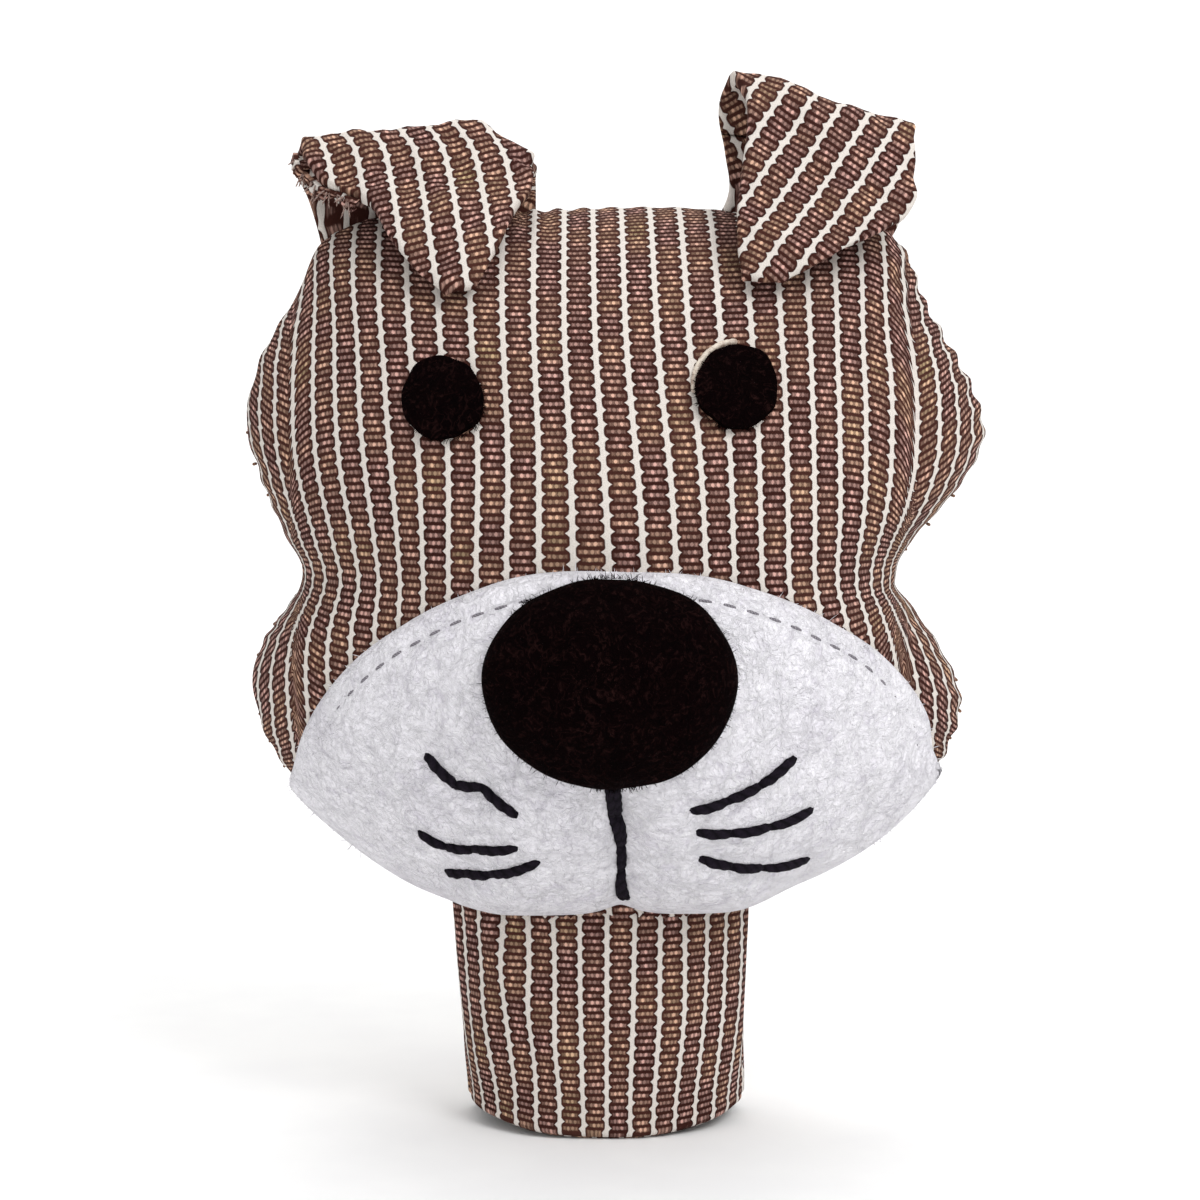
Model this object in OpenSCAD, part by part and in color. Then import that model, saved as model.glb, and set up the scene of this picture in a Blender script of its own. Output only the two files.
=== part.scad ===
// Finger-size hand puppet: a stuffed animal head on an open cloth sleeve.
// Millimetres. The sleeve's mouth lies on z = 0 with its middle at the origin,
// +Z runs up through the head and the face looks along -Y.

/* [Sleeve] */
// Radius of the round finger pocket
pocket_r = 9; // [8:0.5:11]
// Height of the sleeve from its mouth to the neck seam
sleeve_h = 21.5; // [16:0.5:30]
// Width of the sleeve's outer cloth, side seam to side seam
sleeve_w = 31.6; // [27:0.2:38]
// Space between the lining and the outer cloth at the front and back
sleeve_loft = 0.2; // [0.1:0.1:2]
// Width of the hem that is turned up inside the mouth
hem_w = 6; // [3:0.5:9]

/* [Head] */
// Width of the head across the temples
head_w = 81; // [66:1:98]
// Height of the head from the neck seam to the crown
head_h = 75.5; // [62:0.5:92]
// How far the face swells in front of the head's seam
face_depth = 26; // [20:0.5:32]
// How far the back of the head swells behind its seam
nape_depth = 23; // [17:0.5:29]
// Distance that the head stands to the right of the sleeve's axis
head_x = 0.9; // [-2:0.1:2]
// Gap between the sleeve's top and the head, which the neck cloth spans
neck_gap = 2.7; // [2:0.1:5]
// Length of the straight part of the pocket inside the head
tip_pocket_h = 17; // [12:0.5:22]

/* [Cloth] */
// Thickness of the striped cloth
cloth_t = 0.8; // [0.5:0.1:1.2]
// Thickness of the thin lining cloth
lining_t = 0.6; // [0.4:0.1:1]
// Thickness of the felt
felt_t = 1.4; // [1:0.1:2]
// Thickness of the sewing thread
thread_t = 0.5; // [0.3:0.1:0.8]
// Thickness of the embroidery floss
floss_t = 1.1; // [0.7:0.1:1.5]

/* [Muzzle and nose] */
// Width of the muzzle
muzzle_w = 69; // [56:1:74]
// Height of the muzzle
muzzle_h = 37; // [30:0.5:41]
// Height of the muzzle's middle above the head's lowest point
muzzle_up = 20.3; // [19:0.1:23]
// How far the stuffed muzzle swells from the face
muzzle_swell = 5; // [3:0.5:7]
// Distance of the top-stitching from the muzzle's edge
stitch_inset = 1.7; // [1.2:0.1:2.5]
// Width of the nose
nose_w = 26; // [20:0.5:30]
// Height of the nose
nose_h = 20.6; // [16:0.2:24]
// Height of the nose's middle above the muzzle's middle
nose_up = 6.4; // [5:0.2:8]
// How far the padded nose swells
nose_swell = 2.4; // [1.5:0.1:4]

/* [Eyes] */
// Diameter of an eye disc
eye_d = 8.6; // [7:0.2:11]
// Thickness of an eye disc
eye_t = 1.2; // [0.8:0.1:1.8]

/* [Ears] */
// Height of the left ear's fold over the head's seam
left_rise = 6; // [5:0.2:12]
// Height of the right ear's fold over the head's seam
right_rise = 9.6; // [5:0.2:12]
// How far the left flap hangs below its fold
left_drop = 13.5; // [11:0.5:17]
// How far the right flap hangs below its fold
right_drop = 16.5; // [13:0.5:20]
// Thickness of a sewn ear, both layers
ear_t = 1.5; // [1.2:0.1:2]
// Radius of the soft roll where an ear folds over
roll_r = 2.2; // [1.8:0.1:3]

/* [Hidden] */

$fn = 48;
around = 60;        // steps around the head and the muzzle
touch_gap = 0.05;   // between flat faces that lie together
layer_gap = 0.3;    // between curved layers
cut = 0.1;          // how far a cutter passes a face
stripes = "saddlebrown";
head_fullness = 0.62;
pad_fullness = 0.6;
edge_lift = 0.4;    // thickness of the muzzle's filling at its edge
stitch_l = 1.9;
stitch_pitch = 2.6;
ear_seat = 0.9;     // clear space under an ear for its hinge
flap_clear = 1.6;   // clear space between a flap's tip and the forehead

lining_r = pocket_r + lining_t;
sleeve_d = 2 * (lining_r + sleeve_loft + cloth_t);
head_z = sleeve_h + neck_gap + head_h / 2;
muzzle_z = head_z - head_h / 2 + muzzle_up;
tip_r = pocket_r + lining_t;
tip_z = head_z - head_h / 2 + cloth_t + layer_gap + touch_gap;

// Outlines as shares of half the width and half the height, anticlockwise
// from the right; the head has a waist between its temples and its cheeks.
head_outline = [[0.80, 0.03], [0.965, 0.25], [1.0, 0.38], [0.85, 0.72], [0.74, 0.94],
    [0.30, 1.0], [-0.21, 1.0], [-0.765, 0.93], [-0.85, 0.77], [-0.995, 0.38],
    [-0.88, 0.07], [-0.845, -0.06], [-0.975, -0.29], [-0.94, -0.54], [-0.72, -0.81],
    [-0.475, -0.97], [0, -1.0], [0.40, -0.97], [0.73, -0.795], [0.92, -0.54],
    [0.95, -0.38], [0.79, -0.13], [0.753, -0.07]];
muzzle_outline = [[0.98, 0.07], [0.83, 0.43], [0.65, 0.67], [0.385, 0.90], [0.02, 1.0],
    [-0.38, 0.90], [-0.72, 0.535], [-0.913, 0.146], [-1.0, -0.32], [-0.90, -0.53],
    [-0.73, -0.75], [-0.55, -0.875], [-0.26, -0.955], [0, -1.0], [0.33, -0.965],
    [0.535, -0.91], [0.74, -0.725], [0.875, -0.455], [0.98, -0.22]];
nose_outline = [[1.0, 0.05], [0.80, 0.66], [0.30, 0.97], [-0.25, 0.98], [-0.80, 0.62],
    [-1.0, 0.02], [-0.70, -0.70], [-0.15, -1.0], [0.45, -0.92], [0.85, -0.52]];

// Places on the head as shares of half its width and half its height
eye_left_at = [-0.43, 0.48];
eye_right_at = [0.31, 0.51];

// Places on the muzzle as shares of half its width and half its height
mouth_line = [[0.00, -0.22], [0.00, -0.38], [0.02, -0.55], [0.04, -0.70], [0.05, -0.86]];
whisker_lines = [
    [[-0.54, 0.00], [-0.46, -0.15], [-0.38, -0.18], [-0.28, -0.33]],
    [[-0.57, -0.44], [-0.49, -0.51], [-0.41, -0.53], [-0.29, -0.52]],
    [[-0.49, -0.70], [-0.43, -0.69], [-0.36, -0.71], [-0.23, -0.61]],
    [[0.23, -0.29], [0.32, -0.24], [0.42, -0.16], [0.51, -0.02]],
    [[0.25, -0.43], [0.34, -0.42], [0.45, -0.40], [0.57, -0.32]],
    [[0.26, -0.59], [0.34, -0.62], [0.43, -0.65], [0.58, -0.62]]];

// ---- closed outlines -------------------------------------------------------

// An outline's points as angle and radius
function polar(points, half_w, half_h) = [for (p = points)
    let(x = p[0] * half_w, z = p[1] * half_h) [(atan2(z, x) + 360) % 360, norm([x, z])]];

// Point i of a polar outline, counting on past its ends
function knot(table, i) =
    let(n = len(table), turn = floor(i / n), k = i - n * turn)
    [table[k][0] + 360 * turn, table[k][1]];

function knot_slope(table, i) =
    let(a = knot(table, i - 1), b = knot(table, i + 1)) (b[1] - a[1]) / (b[0] - a[0]);

function hermite(p, q, m, n, u) =
    (2 * u * u * u - 3 * u * u + 1) * p + (u * u * u - 2 * u * u + u) * m
    + (3 * u * u - 2 * u * u * u) * q + (u * u * u - u * u) * n;

// Radius of a polar outline at an angle, smooth through all its points
function radius_at(table, angle) =
    let(a = ((angle % 360) + 360) % 360,
        i = max(concat([-1], [for (k = [0 : len(table) - 1]) if (table[k][0] <= a) k])),
        p = knot(table, i), q = knot(table, i + 1), w = q[0] - p[0])
    hermite(p[1], q[1], knot_slope(table, i) * w, knot_slope(table, i + 1) * w, (a - p[0]) / w);

head_polar = polar(head_outline, head_w / 2, head_h / 2);
muzzle_polar = polar(muzzle_outline, muzzle_w / 2, muzzle_h / 2);
nose_polar = polar(nose_outline, nose_w / 2, nose_h / 2);

// ---- the head's swelling ---------------------------------------------------

function rim(angle, lift) = radius_at(head_polar, angle) + lift;
function oval(angle, lift) =
    1 / norm([cos(angle) / (0.95 * head_w / 2), sin(angle) / (head_h / 2)]) + lift;

// Height of the head's surface over its seam plane at radius rho; the seam's
// waist fades away towards the middle
function swell(angle, rho, depth, lift) =
    let(edge = rim(angle, lift), s = min(rho / edge, 1),
        q = rho / (oval(angle, lift) + (edge - oval(angle, lift)) * s * s))
    (depth + lift) * pow(max(0, 1 - q * q), head_fullness);

// Height of the face at a place relative to the head's middle
function face(x, z, lift) = swell(atan2(z, x), norm([x, z]), face_depth, lift);

// Share of the way from the middle of an outline to its edge
function reach(table, x, z) = norm([x, z]) / radius_at(table, atan2(z, x));

function pad(table, x, z, height) =
    height * pow(max(0, 1 - pow(reach(table, x, z), 2)), pad_fullness);

// Height of the muzzle over the seam plane, at a place relative to its middle
function muzzle_face(x, z, lift) =
    face(x, z + muzzle_z - head_z, lift) + pad(muzzle_polar, x, z, muzzle_swell);

muzzle_felt_lift = 2 * layer_gap + edge_lift;
muzzle_top_lift = muzzle_felt_lift + felt_t;
function nose_face(x, z, lift) =
    muzzle_face(x, z + nose_up, lift) + pad(nose_polar, x, z, nose_swell);

// ---- closed sheets ---------------------------------------------------------

// Shares of the way out, closer together towards the edge
function steps_out(rings) = [for (i = [1 : rings]) sin(90 * i / rings)];

// A closed solid between an outer and an inner set of rings round one middle
module quilt(outer_rings, inner_rings, outer_pole, inner_pole) {
    rings = len(outer_rings);
    n = len(outer_rings[0]);
    layer = rings * n + 1;
    points = concat([outer_pole], [for (r = outer_rings) for (p = r) p],
        [inner_pole], [for (r = inner_rings) for (p = r) p]);
    function at(side, ring, k) = side * layer + 1 + ring * n + (k % n);
    faces = concat(
        [for (k = [0 : n - 1]) [0, at(0, 0, k), at(0, 0, k + 1)]],
        [for (k = [0 : n - 1]) [layer, at(1, 0, k + 1), at(1, 0, k)]],
        [for (r = [0 : rings - 2]) for (k = [0 : n - 1]) for (half = [0, 1])
            half == 0 ? [at(0, r, k), at(0, r + 1, k), at(0, r + 1, k + 1)]
                      : [at(0, r, k), at(0, r + 1, k + 1), at(0, r, k + 1)]],
        [for (r = [0 : rings - 2]) for (k = [0 : n - 1]) for (half = [0, 1])
            half == 0 ? [at(1, r, k), at(1, r + 1, k + 1), at(1, r + 1, k)]
                      : [at(1, r, k), at(1, r, k + 1), at(1, r + 1, k + 1)]],
        [for (k = [0 : n - 1]) for (half = [0, 1])
            half == 0 ? [at(0, rings - 1, k), at(1, rings - 1, k), at(1, rings - 1, k + 1)]
                      : [at(0, rings - 1, k), at(1, rings - 1, k + 1), at(0, rings - 1, k + 1)]]);
    polyhedron(points = points, faces = faces, convexity = 4);
}

function spokes(n) = [for (k = [0 : n - 1]) 360 * k / n];

// Rings of the head's surface; side is -1 for the face and 1 for the back
function head_rings(side, depth, lift) = [for (s = steps_out(8)) [for (a = spokes(around))
    let(rho = s * rim(a, lift))
    [rho * cos(a), side * swell(a, rho, depth, lift), rho * sin(a)]]];

module head_sheet(side, depth) {
    near = head_rings(side, depth, 0);
    far = head_rings(side, depth, -cloth_t);
    near_pole = [0, side * depth, 0];
    far_pole = [0, side * (depth - cloth_t), 0];
    if (side < 0) quilt(near, far, near_pole, far_pole);
    else quilt(far, near, far_pole, near_pole);
}

// Rings of a pad over an outline, with its height given by a function of the place
function pad_rings(table, inset, skin, rings, n) =
    [for (s = steps_out(rings)) [for (a = spokes(n))
        let(rho = s * (radius_at(table, a) - inset), x = rho * cos(a), z = rho * sin(a))
        [x, -skin(x, z), z]]];

module pad_solid(table, inset, top, bottom, rings, n) {
    quilt(pad_rings(table, inset, top, rings, n), pad_rings(table, inset, bottom, rings, n),
        [0, -top(0, 0), 0], [0, -bottom(0, 0), 0]);
}

module at_head() translate([head_x, 0, head_z]) children();
module at_muzzle() translate([head_x, 0, muzzle_z]) children();
module at_nose() translate([head_x, 0, muzzle_z + nose_up]) children();

// ---- stitches --------------------------------------------------------------

// A straight length of thread with round ends
module thread(a, b, r) {
    v = b - a;
    translate(a) rotate([0, acos(v[2] / norm(v)), atan2(v[1], v[0])]) {
        cylinder(h = norm(v), r = r, $fn = 24);
        sphere(r = r, $fn = 24);
        translate([0, 0, norm(v)]) sphere(r = r, $fn = 24);
    }
}

// Back stitches along a line on the muzzle, half sunk into the felt
module muzzle_line(line) {
    places = [for (p = line) let(x = p[0] * muzzle_w / 2, z = p[1] * muzzle_h / 2)
        [x, -muzzle_face(x, z, muzzle_top_lift + 0.1 * floss_t), z]];
    for (i = [0 : len(places) - 2])
        let(v = (places[i + 1] - places[i]) * floss_t / norm(places[i + 1] - places[i]))
        thread(places[i] + 0.55 * v, places[i + 1] - 0.55 * v, floss_t / 2);
}

// ---- sleeve ----------------------------------------------------------------

module stadium(w, d) {
    for (side = [-1, 1]) translate([side * (w - d) / 2, 0]) circle(d = d, $fn = 96);
    square([w - d, d], center = true);
}

module sleeve_panel(side) {
    linear_extrude(height = sleeve_h) intersection() {
        difference() {
            stadium(sleeve_w, sleeve_d);
            stadium(sleeve_w - 2 * cloth_t, sleeve_d - 2 * cloth_t);
        }
        translate([-sleeve_w, side > 0 ? touch_gap / 2 : -sleeve_w])
            square([2 * sleeve_w, sleeve_w - touch_gap / 2]);
    }
}

module sleeve_front_panel() color(stripes) sleeve_panel(-1);
module sleeve_back_panel() color(stripes) sleeve_panel(1);

module sleeve_lining() color("tan") difference() {
    cylinder(h = sleeve_h, r = lining_r);
    translate([0, 0, -cut]) cylinder(h = sleeve_h + 2 * cut, r = pocket_r);
}

// The turned-up cloth of the mouth: a band inside each side and a web to the lining
module sleeve_hem() {
    side_w = sleeve_w - 2 * cloth_t - 2 * touch_gap;
    side_d = sleeve_d - 2 * cloth_t - 2 * touch_gap;
    hole_r = lining_r + touch_gap;
    band_from = sqrt(max(0, pow(hole_r, 2) - pow(side_d / 2 - cloth_t, 2))) + layer_gap;
    color("peru") {
        for (side = [-1, 1]) linear_extrude(height = hem_w) intersection() {
            difference() {
                stadium(side_w, side_d);
                stadium(side_w - 2 * cloth_t, side_d - 2 * cloth_t);
            }
            translate([side > 0 ? band_from : -sleeve_w, -sleeve_d])
                square([sleeve_w - band_from, 2 * sleeve_d]);
        }
        linear_extrude(height = cloth_t) difference() {
            stadium(side_w, side_d);
            circle(r = hole_r, $fn = 96);
        }
    }
}

// The cloth edges that the two side seams leave inside the sleeve
module sleeve_seam_allowances() {
    from = lining_r + 1;
    to = sleeve_w / 2 - cloth_t - layer_gap;
    color("tan") for (side = [-1, 1])
        translate([side > 0 ? from : -to, -cloth_t, hem_w + layer_gap])
            cube([to - from, 2 * cloth_t, sleeve_h - hem_w - 2 * layer_gap]);
}

// Place on a stadium's edge at a distance s along it, from the middle of the front
function stadium_place(w, d, s) =
    let(flat = w - d, bend = PI * d / 2, t = s % (2 * flat + 2 * bend))
    t < flat / 2 ? [t, -d / 2]
    : t < flat / 2 + bend ? let(a = (t - flat / 2) / bend * 180 - 90)
        [flat / 2 + d / 2 * cos(a), d / 2 * sin(a)]
    : t < 3 * flat / 2 + bend ? [flat / 2 - (t - flat / 2 - bend), d / 2]
    : t < 3 * flat / 2 + 2 * bend ? let(a = (t - 3 * flat / 2 - bend) / bend * 180 + 90)
        [-flat / 2 + d / 2 * cos(a), d / 2 * sin(a)]
    : [-flat / 2 + (t - 3 * flat / 2 - 2 * bend), -d / 2];

module neck_seam_stitches() {
    w = sleeve_w + 2 * touch_gap + thread_t;
    d = sleeve_d + 2 * touch_gap + thread_t;
    edge = 2 * (w - d) + PI * d;
    count = floor(edge / stitch_pitch);
    pitch = edge / count;
    z = sleeve_h - thread_t;
    color("rosybrown") for (i = [0 : count - 1])
        let(p = stadium_place(w, d, i * pitch), q = stadium_place(w, d, i * pitch + 0.6 * pitch))
        thread([p[0], p[1], z], [q[0], q[1], z], thread_t / 2);
}

// ---- head ------------------------------------------------------------------

// The space that the head leaves open over the sleeve
module neck_opening() {
    linear_extrude(height = head_z - head_h / 2 + lining_r)
        stadium(sleeve_w - 2 * cloth_t, sleeve_d + layer_gap);
}

module head_front_panel() color(stripes) difference() {
    at_head() head_sheet(-1, face_depth);
    neck_opening();
}

module head_back_panel() color(stripes) difference() {
    at_head() head_sheet(1, nape_depth);
    neck_opening();
}

module pocket_shape(r) {
    translate([0, 0, tip_z - cut]) cylinder(h = tip_pocket_h + cut, r = r);
    translate([0, 0, tip_z + tip_pocket_h]) sphere(r = r, $fn = 96);
}

module fingertip_pocket() color("tan") difference() {
    intersection() {
        pocket_shape(tip_r);
        translate([-tip_r, -tip_r, tip_z]) cube([2 * tip_r, 2 * tip_r, tip_pocket_h + 2 * tip_r]);
    }
    pocket_shape(pocket_r);
}

module head_stuffing() {
    lift = -cloth_t - layer_gap;
    front = head_rings(-1, face_depth, lift);
    back = head_rings(1, nape_depth, lift);
    seam = len(back) - 1;
    // the back's last ring lies on the seam plane already, so the front gives it
    inner = [for (i = [0 : seam]) i < seam ? back[i]
        : [for (p = back[i]) [p[0], layer_gap / 2, p[2]]]];
    outer = [for (i = [0 : seam]) i < seam ? front[i]
        : [for (p = front[i]) [p[0], -layer_gap / 2, p[2]]]];
    color("whitesmoke") difference() {
        at_head() quilt(outer, inner, [0, -face_depth - lift, 0], [0, nape_depth + lift, 0]);
        pocket_shape(tip_r + touch_gap);
        translate([0, 0, tip_z - cut - sleeve_h]) cylinder(h = sleeve_h + cut, r = tip_r + touch_gap);
    }
}

// Stitches through both panels, inside the thickness of their cloth
module head_seam_stitches() {
    count = 84;
    color("rosybrown") at_head() for (i = [0 : count - 1])
        let(a = 360 * (i + 0.5) / count, r = rim(a, -cloth_t / 2))
        if (abs(a - 270) > 30)
            translate([r * cos(a), -cloth_t, r * sin(a)]) rotate([-90, 0, 0])
                cylinder(h = 2 * cloth_t, r = thread_t / 3, $fn = 16);
}

module muzzle_stuffing() color("whitesmoke") difference() {
    at_muzzle() pad_solid(muzzle_polar, felt_t,
        function(x, z) muzzle_face(x, z, layer_gap + edge_lift),
        function(x, z) face(x, z + muzzle_z - head_z, layer_gap), 6, around);
    neck_opening();
}

module muzzle_felt() color("ghostwhite") difference() {
    at_muzzle() pad_solid(muzzle_polar, 0,
        function(x, z) muzzle_face(x, z, muzzle_top_lift),
        function(x, z) muzzle_face(x, z, muzzle_felt_lift), 6, around);
    neck_opening();
}

// The stitched line along the muzzle's upper edge, evenly spaced by its length
module muzzle_topstitching() {
    from = 0;
    to = 186;
    step = 2;
    function place(a) = let(rho = radius_at(muzzle_polar, a) - stitch_inset,
        x = rho * cos(a), z = rho * sin(a)) [x, -muzzle_face(x, z, muzzle_top_lift), z];
    run = [for (a = from, s = 0; a <= to; s = s + norm(place(a + step) - place(a)), a = a + step)
        [s, a]];
    edge = run[len(run) - 1][0];
    count = floor(edge / stitch_pitch);
    pitch = edge / count;
    color("dimgray") at_muzzle() for (i = [0 : count - 1])
        thread(place(lookup(i * pitch, run)), place(lookup(i * pitch + stitch_l, run)), thread_t / 2);
}

module nose_padding() color("black") at_nose()
    pad_solid(nose_polar, felt_t,
        function(x, z) nose_face(x, z, muzzle_top_lift + layer_gap + edge_lift),
        function(x, z) muzzle_face(x, z + nose_up, muzzle_top_lift + layer_gap), 4, 32);

module nose_felt() color("black") at_nose()
    pad_solid(nose_polar, 0,
        function(x, z) nose_face(x, z, muzzle_top_lift + 2 * layer_gap + edge_lift + felt_t),
        function(x, z) nose_face(x, z, muzzle_top_lift + 2 * layer_gap + edge_lift), 4, 32);

module mouth_stitches() color("black") at_muzzle() muzzle_line(mouth_line);

module eye(place) {
    x0 = place[0] * head_w / 2;
    z0 = place[1] * head_h / 2;
    disc = [for (a = spokes(8)) [a, eye_d / 2]];
    color("black") translate([head_x + x0, 0, head_z + z0])
        pad_solid(disc, 0,
            function(x, z) face(x + x0, z + z0, layer_gap + eye_t),
            function(x, z) face(x + x0, z + z0, layer_gap), 2, 24);
}

module eye_left() eye(eye_left_at);
module eye_right() eye(eye_right_at);

module whisker(i) color("black") at_muzzle() muzzle_line(whisker_lines[i]);

// ---- ears ------------------------------------------------------------------

// Each ear: the angles on the head's outline where its sewn line starts and ends,
// from left to right, the rise of its fold, the drop of its flap, and the side of
// its inner end
left_ear = [131, 104, left_rise, left_drop, 1];
right_ear = [72, 49, right_rise, right_drop, -1];
tip_share = 0.28;   // the flap's tip, as a share of the ear's width from its middle
fold_start = 84;    // angle about the fold where the flap's cloth starts

function outline_place(angle) =
    [head_x + rim(angle, 0) * cos(angle), 0, head_z + rim(angle, 0) * sin(angle)];
function ear_line(ear) = outline_place(ear[1]) - outline_place(ear[0]);
function ear_width(ear) = norm(ear_line(ear));
function ear_middle(ear) = (outline_place(ear[1]) + outline_place(ear[0])) / 2;
function ear_tilt(ear) = atan2(ear_line(ear)[2], ear_line(ear)[0]);

// How far the forehead stands in front of the seam plane behind the flap's tip
function tip_depth(ear) =
    let(u = ear[4] * tip_share * ear_width(ear), v = ear[2] - ear[3], t = ear_tilt(ear),
        x = u * cos(t) - v * sin(t), z = u * sin(t) + v * cos(t))
    face(ear_middle(ear)[0] - head_x + x, ear_middle(ear)[2] - head_z + z, 0);

// Angle of a flap from straight down at which its tip clears the forehead
function flap_slope(ear) =
    let(out = tip_depth(ear) + flap_clear)
    acos((roll_r + layer_gap) / norm([out, ear[3]])) - atan2(ear[3], out);

// x along the line of sewing, z away from the head
module at_ear(ear) translate(ear_middle(ear)) rotate([0, -ear_tilt(ear), 0]) children();

module ear_profile(w) rotate([90, 0, 90]) linear_extrude(height = w, center = true) children();

// A plate that rises from the seam to the roll that the flap turns about
module ear_base(ear) color(stripes) difference() {
    at_ear(ear) ear_profile(ear_width(ear)) {
        translate([-ear_t / 2, 0]) square([ear_t, ear[2]]);
        translate([0, ear[2]]) circle(r = roll_r);
    }
    // the head's outline with the ear's seat round it
    translate([head_x, ear_t, head_z]) rotate([90, 0, 0]) linear_extrude(height = 2 * ear_t)
        polygon([for (a = spokes(90)) rim(a, ear_seat) * [cos(a), sin(a)]]);
}

// Points of an arc about the fold, from one angle to another
function fold_arc(r, from, to) =
    [for (i = [0 : 8]) let(a = from + (to - from) * i / 8) [r * cos(a), r * sin(a)]];

// The flap starts as a shell over the roll and runs down in front of the forehead
module ear_flap(ear) {
    w = ear_width(ear);
    drop = ear[3];
    near = roll_r + layer_gap;
    far = near + ear_t;
    bend = 180 - flap_slope(ear);
    flap_l = (drop + 2 * roll_r) / cos(flap_slope(ear));
    end = flap_l * [-sin(bend), cos(bend)];
    out = [cos(bend), sin(bend)];
    outline = [[-0.5, 1], [-0.5, -0.15], [-0.38, -0.42], [0.18, -0.95], [tip_share, -1],
        [0.38, -0.95], [0.5, -0.70], [0.5, 1]];
    color(stripes) at_ear(ear) translate([0, 0, ear[2]]) intersection() {
        ear_profile(w + cut) polygon(concat(fold_arc(far, fold_start, bend),
            [end + far * out, end + near * out], fold_arc(near, bend, fold_start)));
        rotate([90, 0, 0]) linear_extrude(height = 4 * flap_l, center = true)
            polygon([for (p = outline) [ear[4] * p[0] * w, p[1] * drop]]);
    }
}

module ear_left_base() ear_base(left_ear);
module ear_left_flap() ear_flap(left_ear);
module ear_right_base() ear_base(right_ear);
module ear_right_flap() ear_flap(right_ear);

// ---- one line a node -------------------------------------------------------

sleeve_front_panel();
sleeve_back_panel();
sleeve_lining();
sleeve_hem();
sleeve_seam_allowances();
neck_seam_stitches();
head_front_panel();
head_back_panel();
head_stuffing();
head_seam_stitches();
fingertip_pocket();
muzzle_felt();
muzzle_stuffing();
muzzle_topstitching();
nose_felt();
nose_padding();
mouth_stitches();
eye_left();
eye_right();
whisker(0);  // whisker_left_upper
whisker(1);  // whisker_left_middle
whisker(2);  // whisker_left_lower
whisker(3);  // whisker_right_upper
whisker(4);  // whisker_right_middle
whisker(5);  // whisker_right_lower
ear_left_base();
ear_left_flap();
ear_right_base();
ear_right_flap();
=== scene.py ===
"""Finger-size hand puppet: its cloth, felt and thread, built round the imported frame.

Blender works in metres; the makers below think in millimetres and turn to metres when a mesh is
written. +Z runs up through the head and the face looks along -Y.
"""

import logging
import math
from collections.abc import Callable, Sequence
from dataclasses import dataclass, field
from enum import Enum

import bpy
import numpy as np
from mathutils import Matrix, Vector


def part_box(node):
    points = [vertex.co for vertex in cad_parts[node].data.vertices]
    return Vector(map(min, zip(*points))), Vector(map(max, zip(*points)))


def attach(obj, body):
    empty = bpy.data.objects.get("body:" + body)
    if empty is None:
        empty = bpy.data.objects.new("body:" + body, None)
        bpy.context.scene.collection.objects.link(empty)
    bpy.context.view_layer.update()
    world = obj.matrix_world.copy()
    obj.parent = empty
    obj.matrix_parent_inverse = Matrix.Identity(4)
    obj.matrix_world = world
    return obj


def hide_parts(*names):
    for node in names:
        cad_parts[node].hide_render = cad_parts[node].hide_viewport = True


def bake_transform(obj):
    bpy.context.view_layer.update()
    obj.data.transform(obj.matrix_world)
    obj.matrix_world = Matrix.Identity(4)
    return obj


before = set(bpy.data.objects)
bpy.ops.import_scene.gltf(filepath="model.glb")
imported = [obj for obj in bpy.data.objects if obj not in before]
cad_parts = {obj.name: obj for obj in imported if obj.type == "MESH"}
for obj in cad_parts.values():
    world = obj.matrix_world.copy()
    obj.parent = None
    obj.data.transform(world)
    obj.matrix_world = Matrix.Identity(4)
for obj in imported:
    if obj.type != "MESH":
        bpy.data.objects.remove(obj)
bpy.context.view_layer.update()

MM = 0.001
log = logging.getLogger("puppet")
Points = np.ndarray
Place = tuple[float, float, float]
Colour = tuple[float, float, float]


class Side(Enum):
    """The two faces of the head; the value is the sign of y."""

    FACE = -1
    NAPE = 1


class Wool(Enum):
    """The colours that the felt comes in: base; a darker tone for flecks, mottling and painted shade in the
    hollows between fibre tufts; and lighter fleck.
    """

    WHITE = ((0.89, 0.87, 0.92), (0.62, 0.585, 0.67), (0.94, 0.93, 0.955))
    BLACK = ((0.0024, 0.0006, 0.0008), (0.0008, 0.0003, 0.0005), (0.018, 0.0065, 0.006))


# ---- shapes worked out in numbers -------------------------------------------


def node_box(name: str) -> tuple[np.ndarray, np.ndarray]:
    """A CAD node's box in millimetres.

    Args:
        name: The node's name.

    Returns:
        Its lowest and highest corners.
    """
    low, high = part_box(name)
    return np.array(low) / MM, np.array(high) / MM


def bump(distance: Points, width: float) -> Points:
    """A soft hill of height 1 at distance 0."""
    return np.exp(-((distance / width) ** 2))


def ease(value: Points, start: float, end: float) -> Points:
    """A smooth step from 0 at start to 1 at end."""
    t = np.clip((value - start) / (end - start), 0, 1)
    return t * t * (3 - 2 * t)


def ripple(a: Points, b: Points, pitch: float, seed: int) -> Points:
    """Soft unevenness of about unit height, the same on every run.

    Args:
        a: First coordinate in millimetres.
        b: Second coordinate in millimetres.
        pitch: Distance between bumps in millimetres.
        seed: Picks the pattern.

    Returns:
        The height at each place.
    """
    draw = np.random.default_rng(seed)
    total = np.zeros_like(a, dtype=float)
    waves = 7
    for _ in range(waves):
        turn, shift = draw.uniform(0, 2 * math.pi, 2)
        stretch = draw.uniform(0.7, 1.5)
        along = a * math.cos(turn) + b * math.sin(turn)
        total += np.sin(2 * math.pi * along * stretch / pitch + shift)
    return total / math.sqrt(waves)


def unit(rows: Points) -> Points:
    """Each row, brought to length 1."""
    return rows / np.linalg.norm(rows, axis=1)[:, None]


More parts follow.
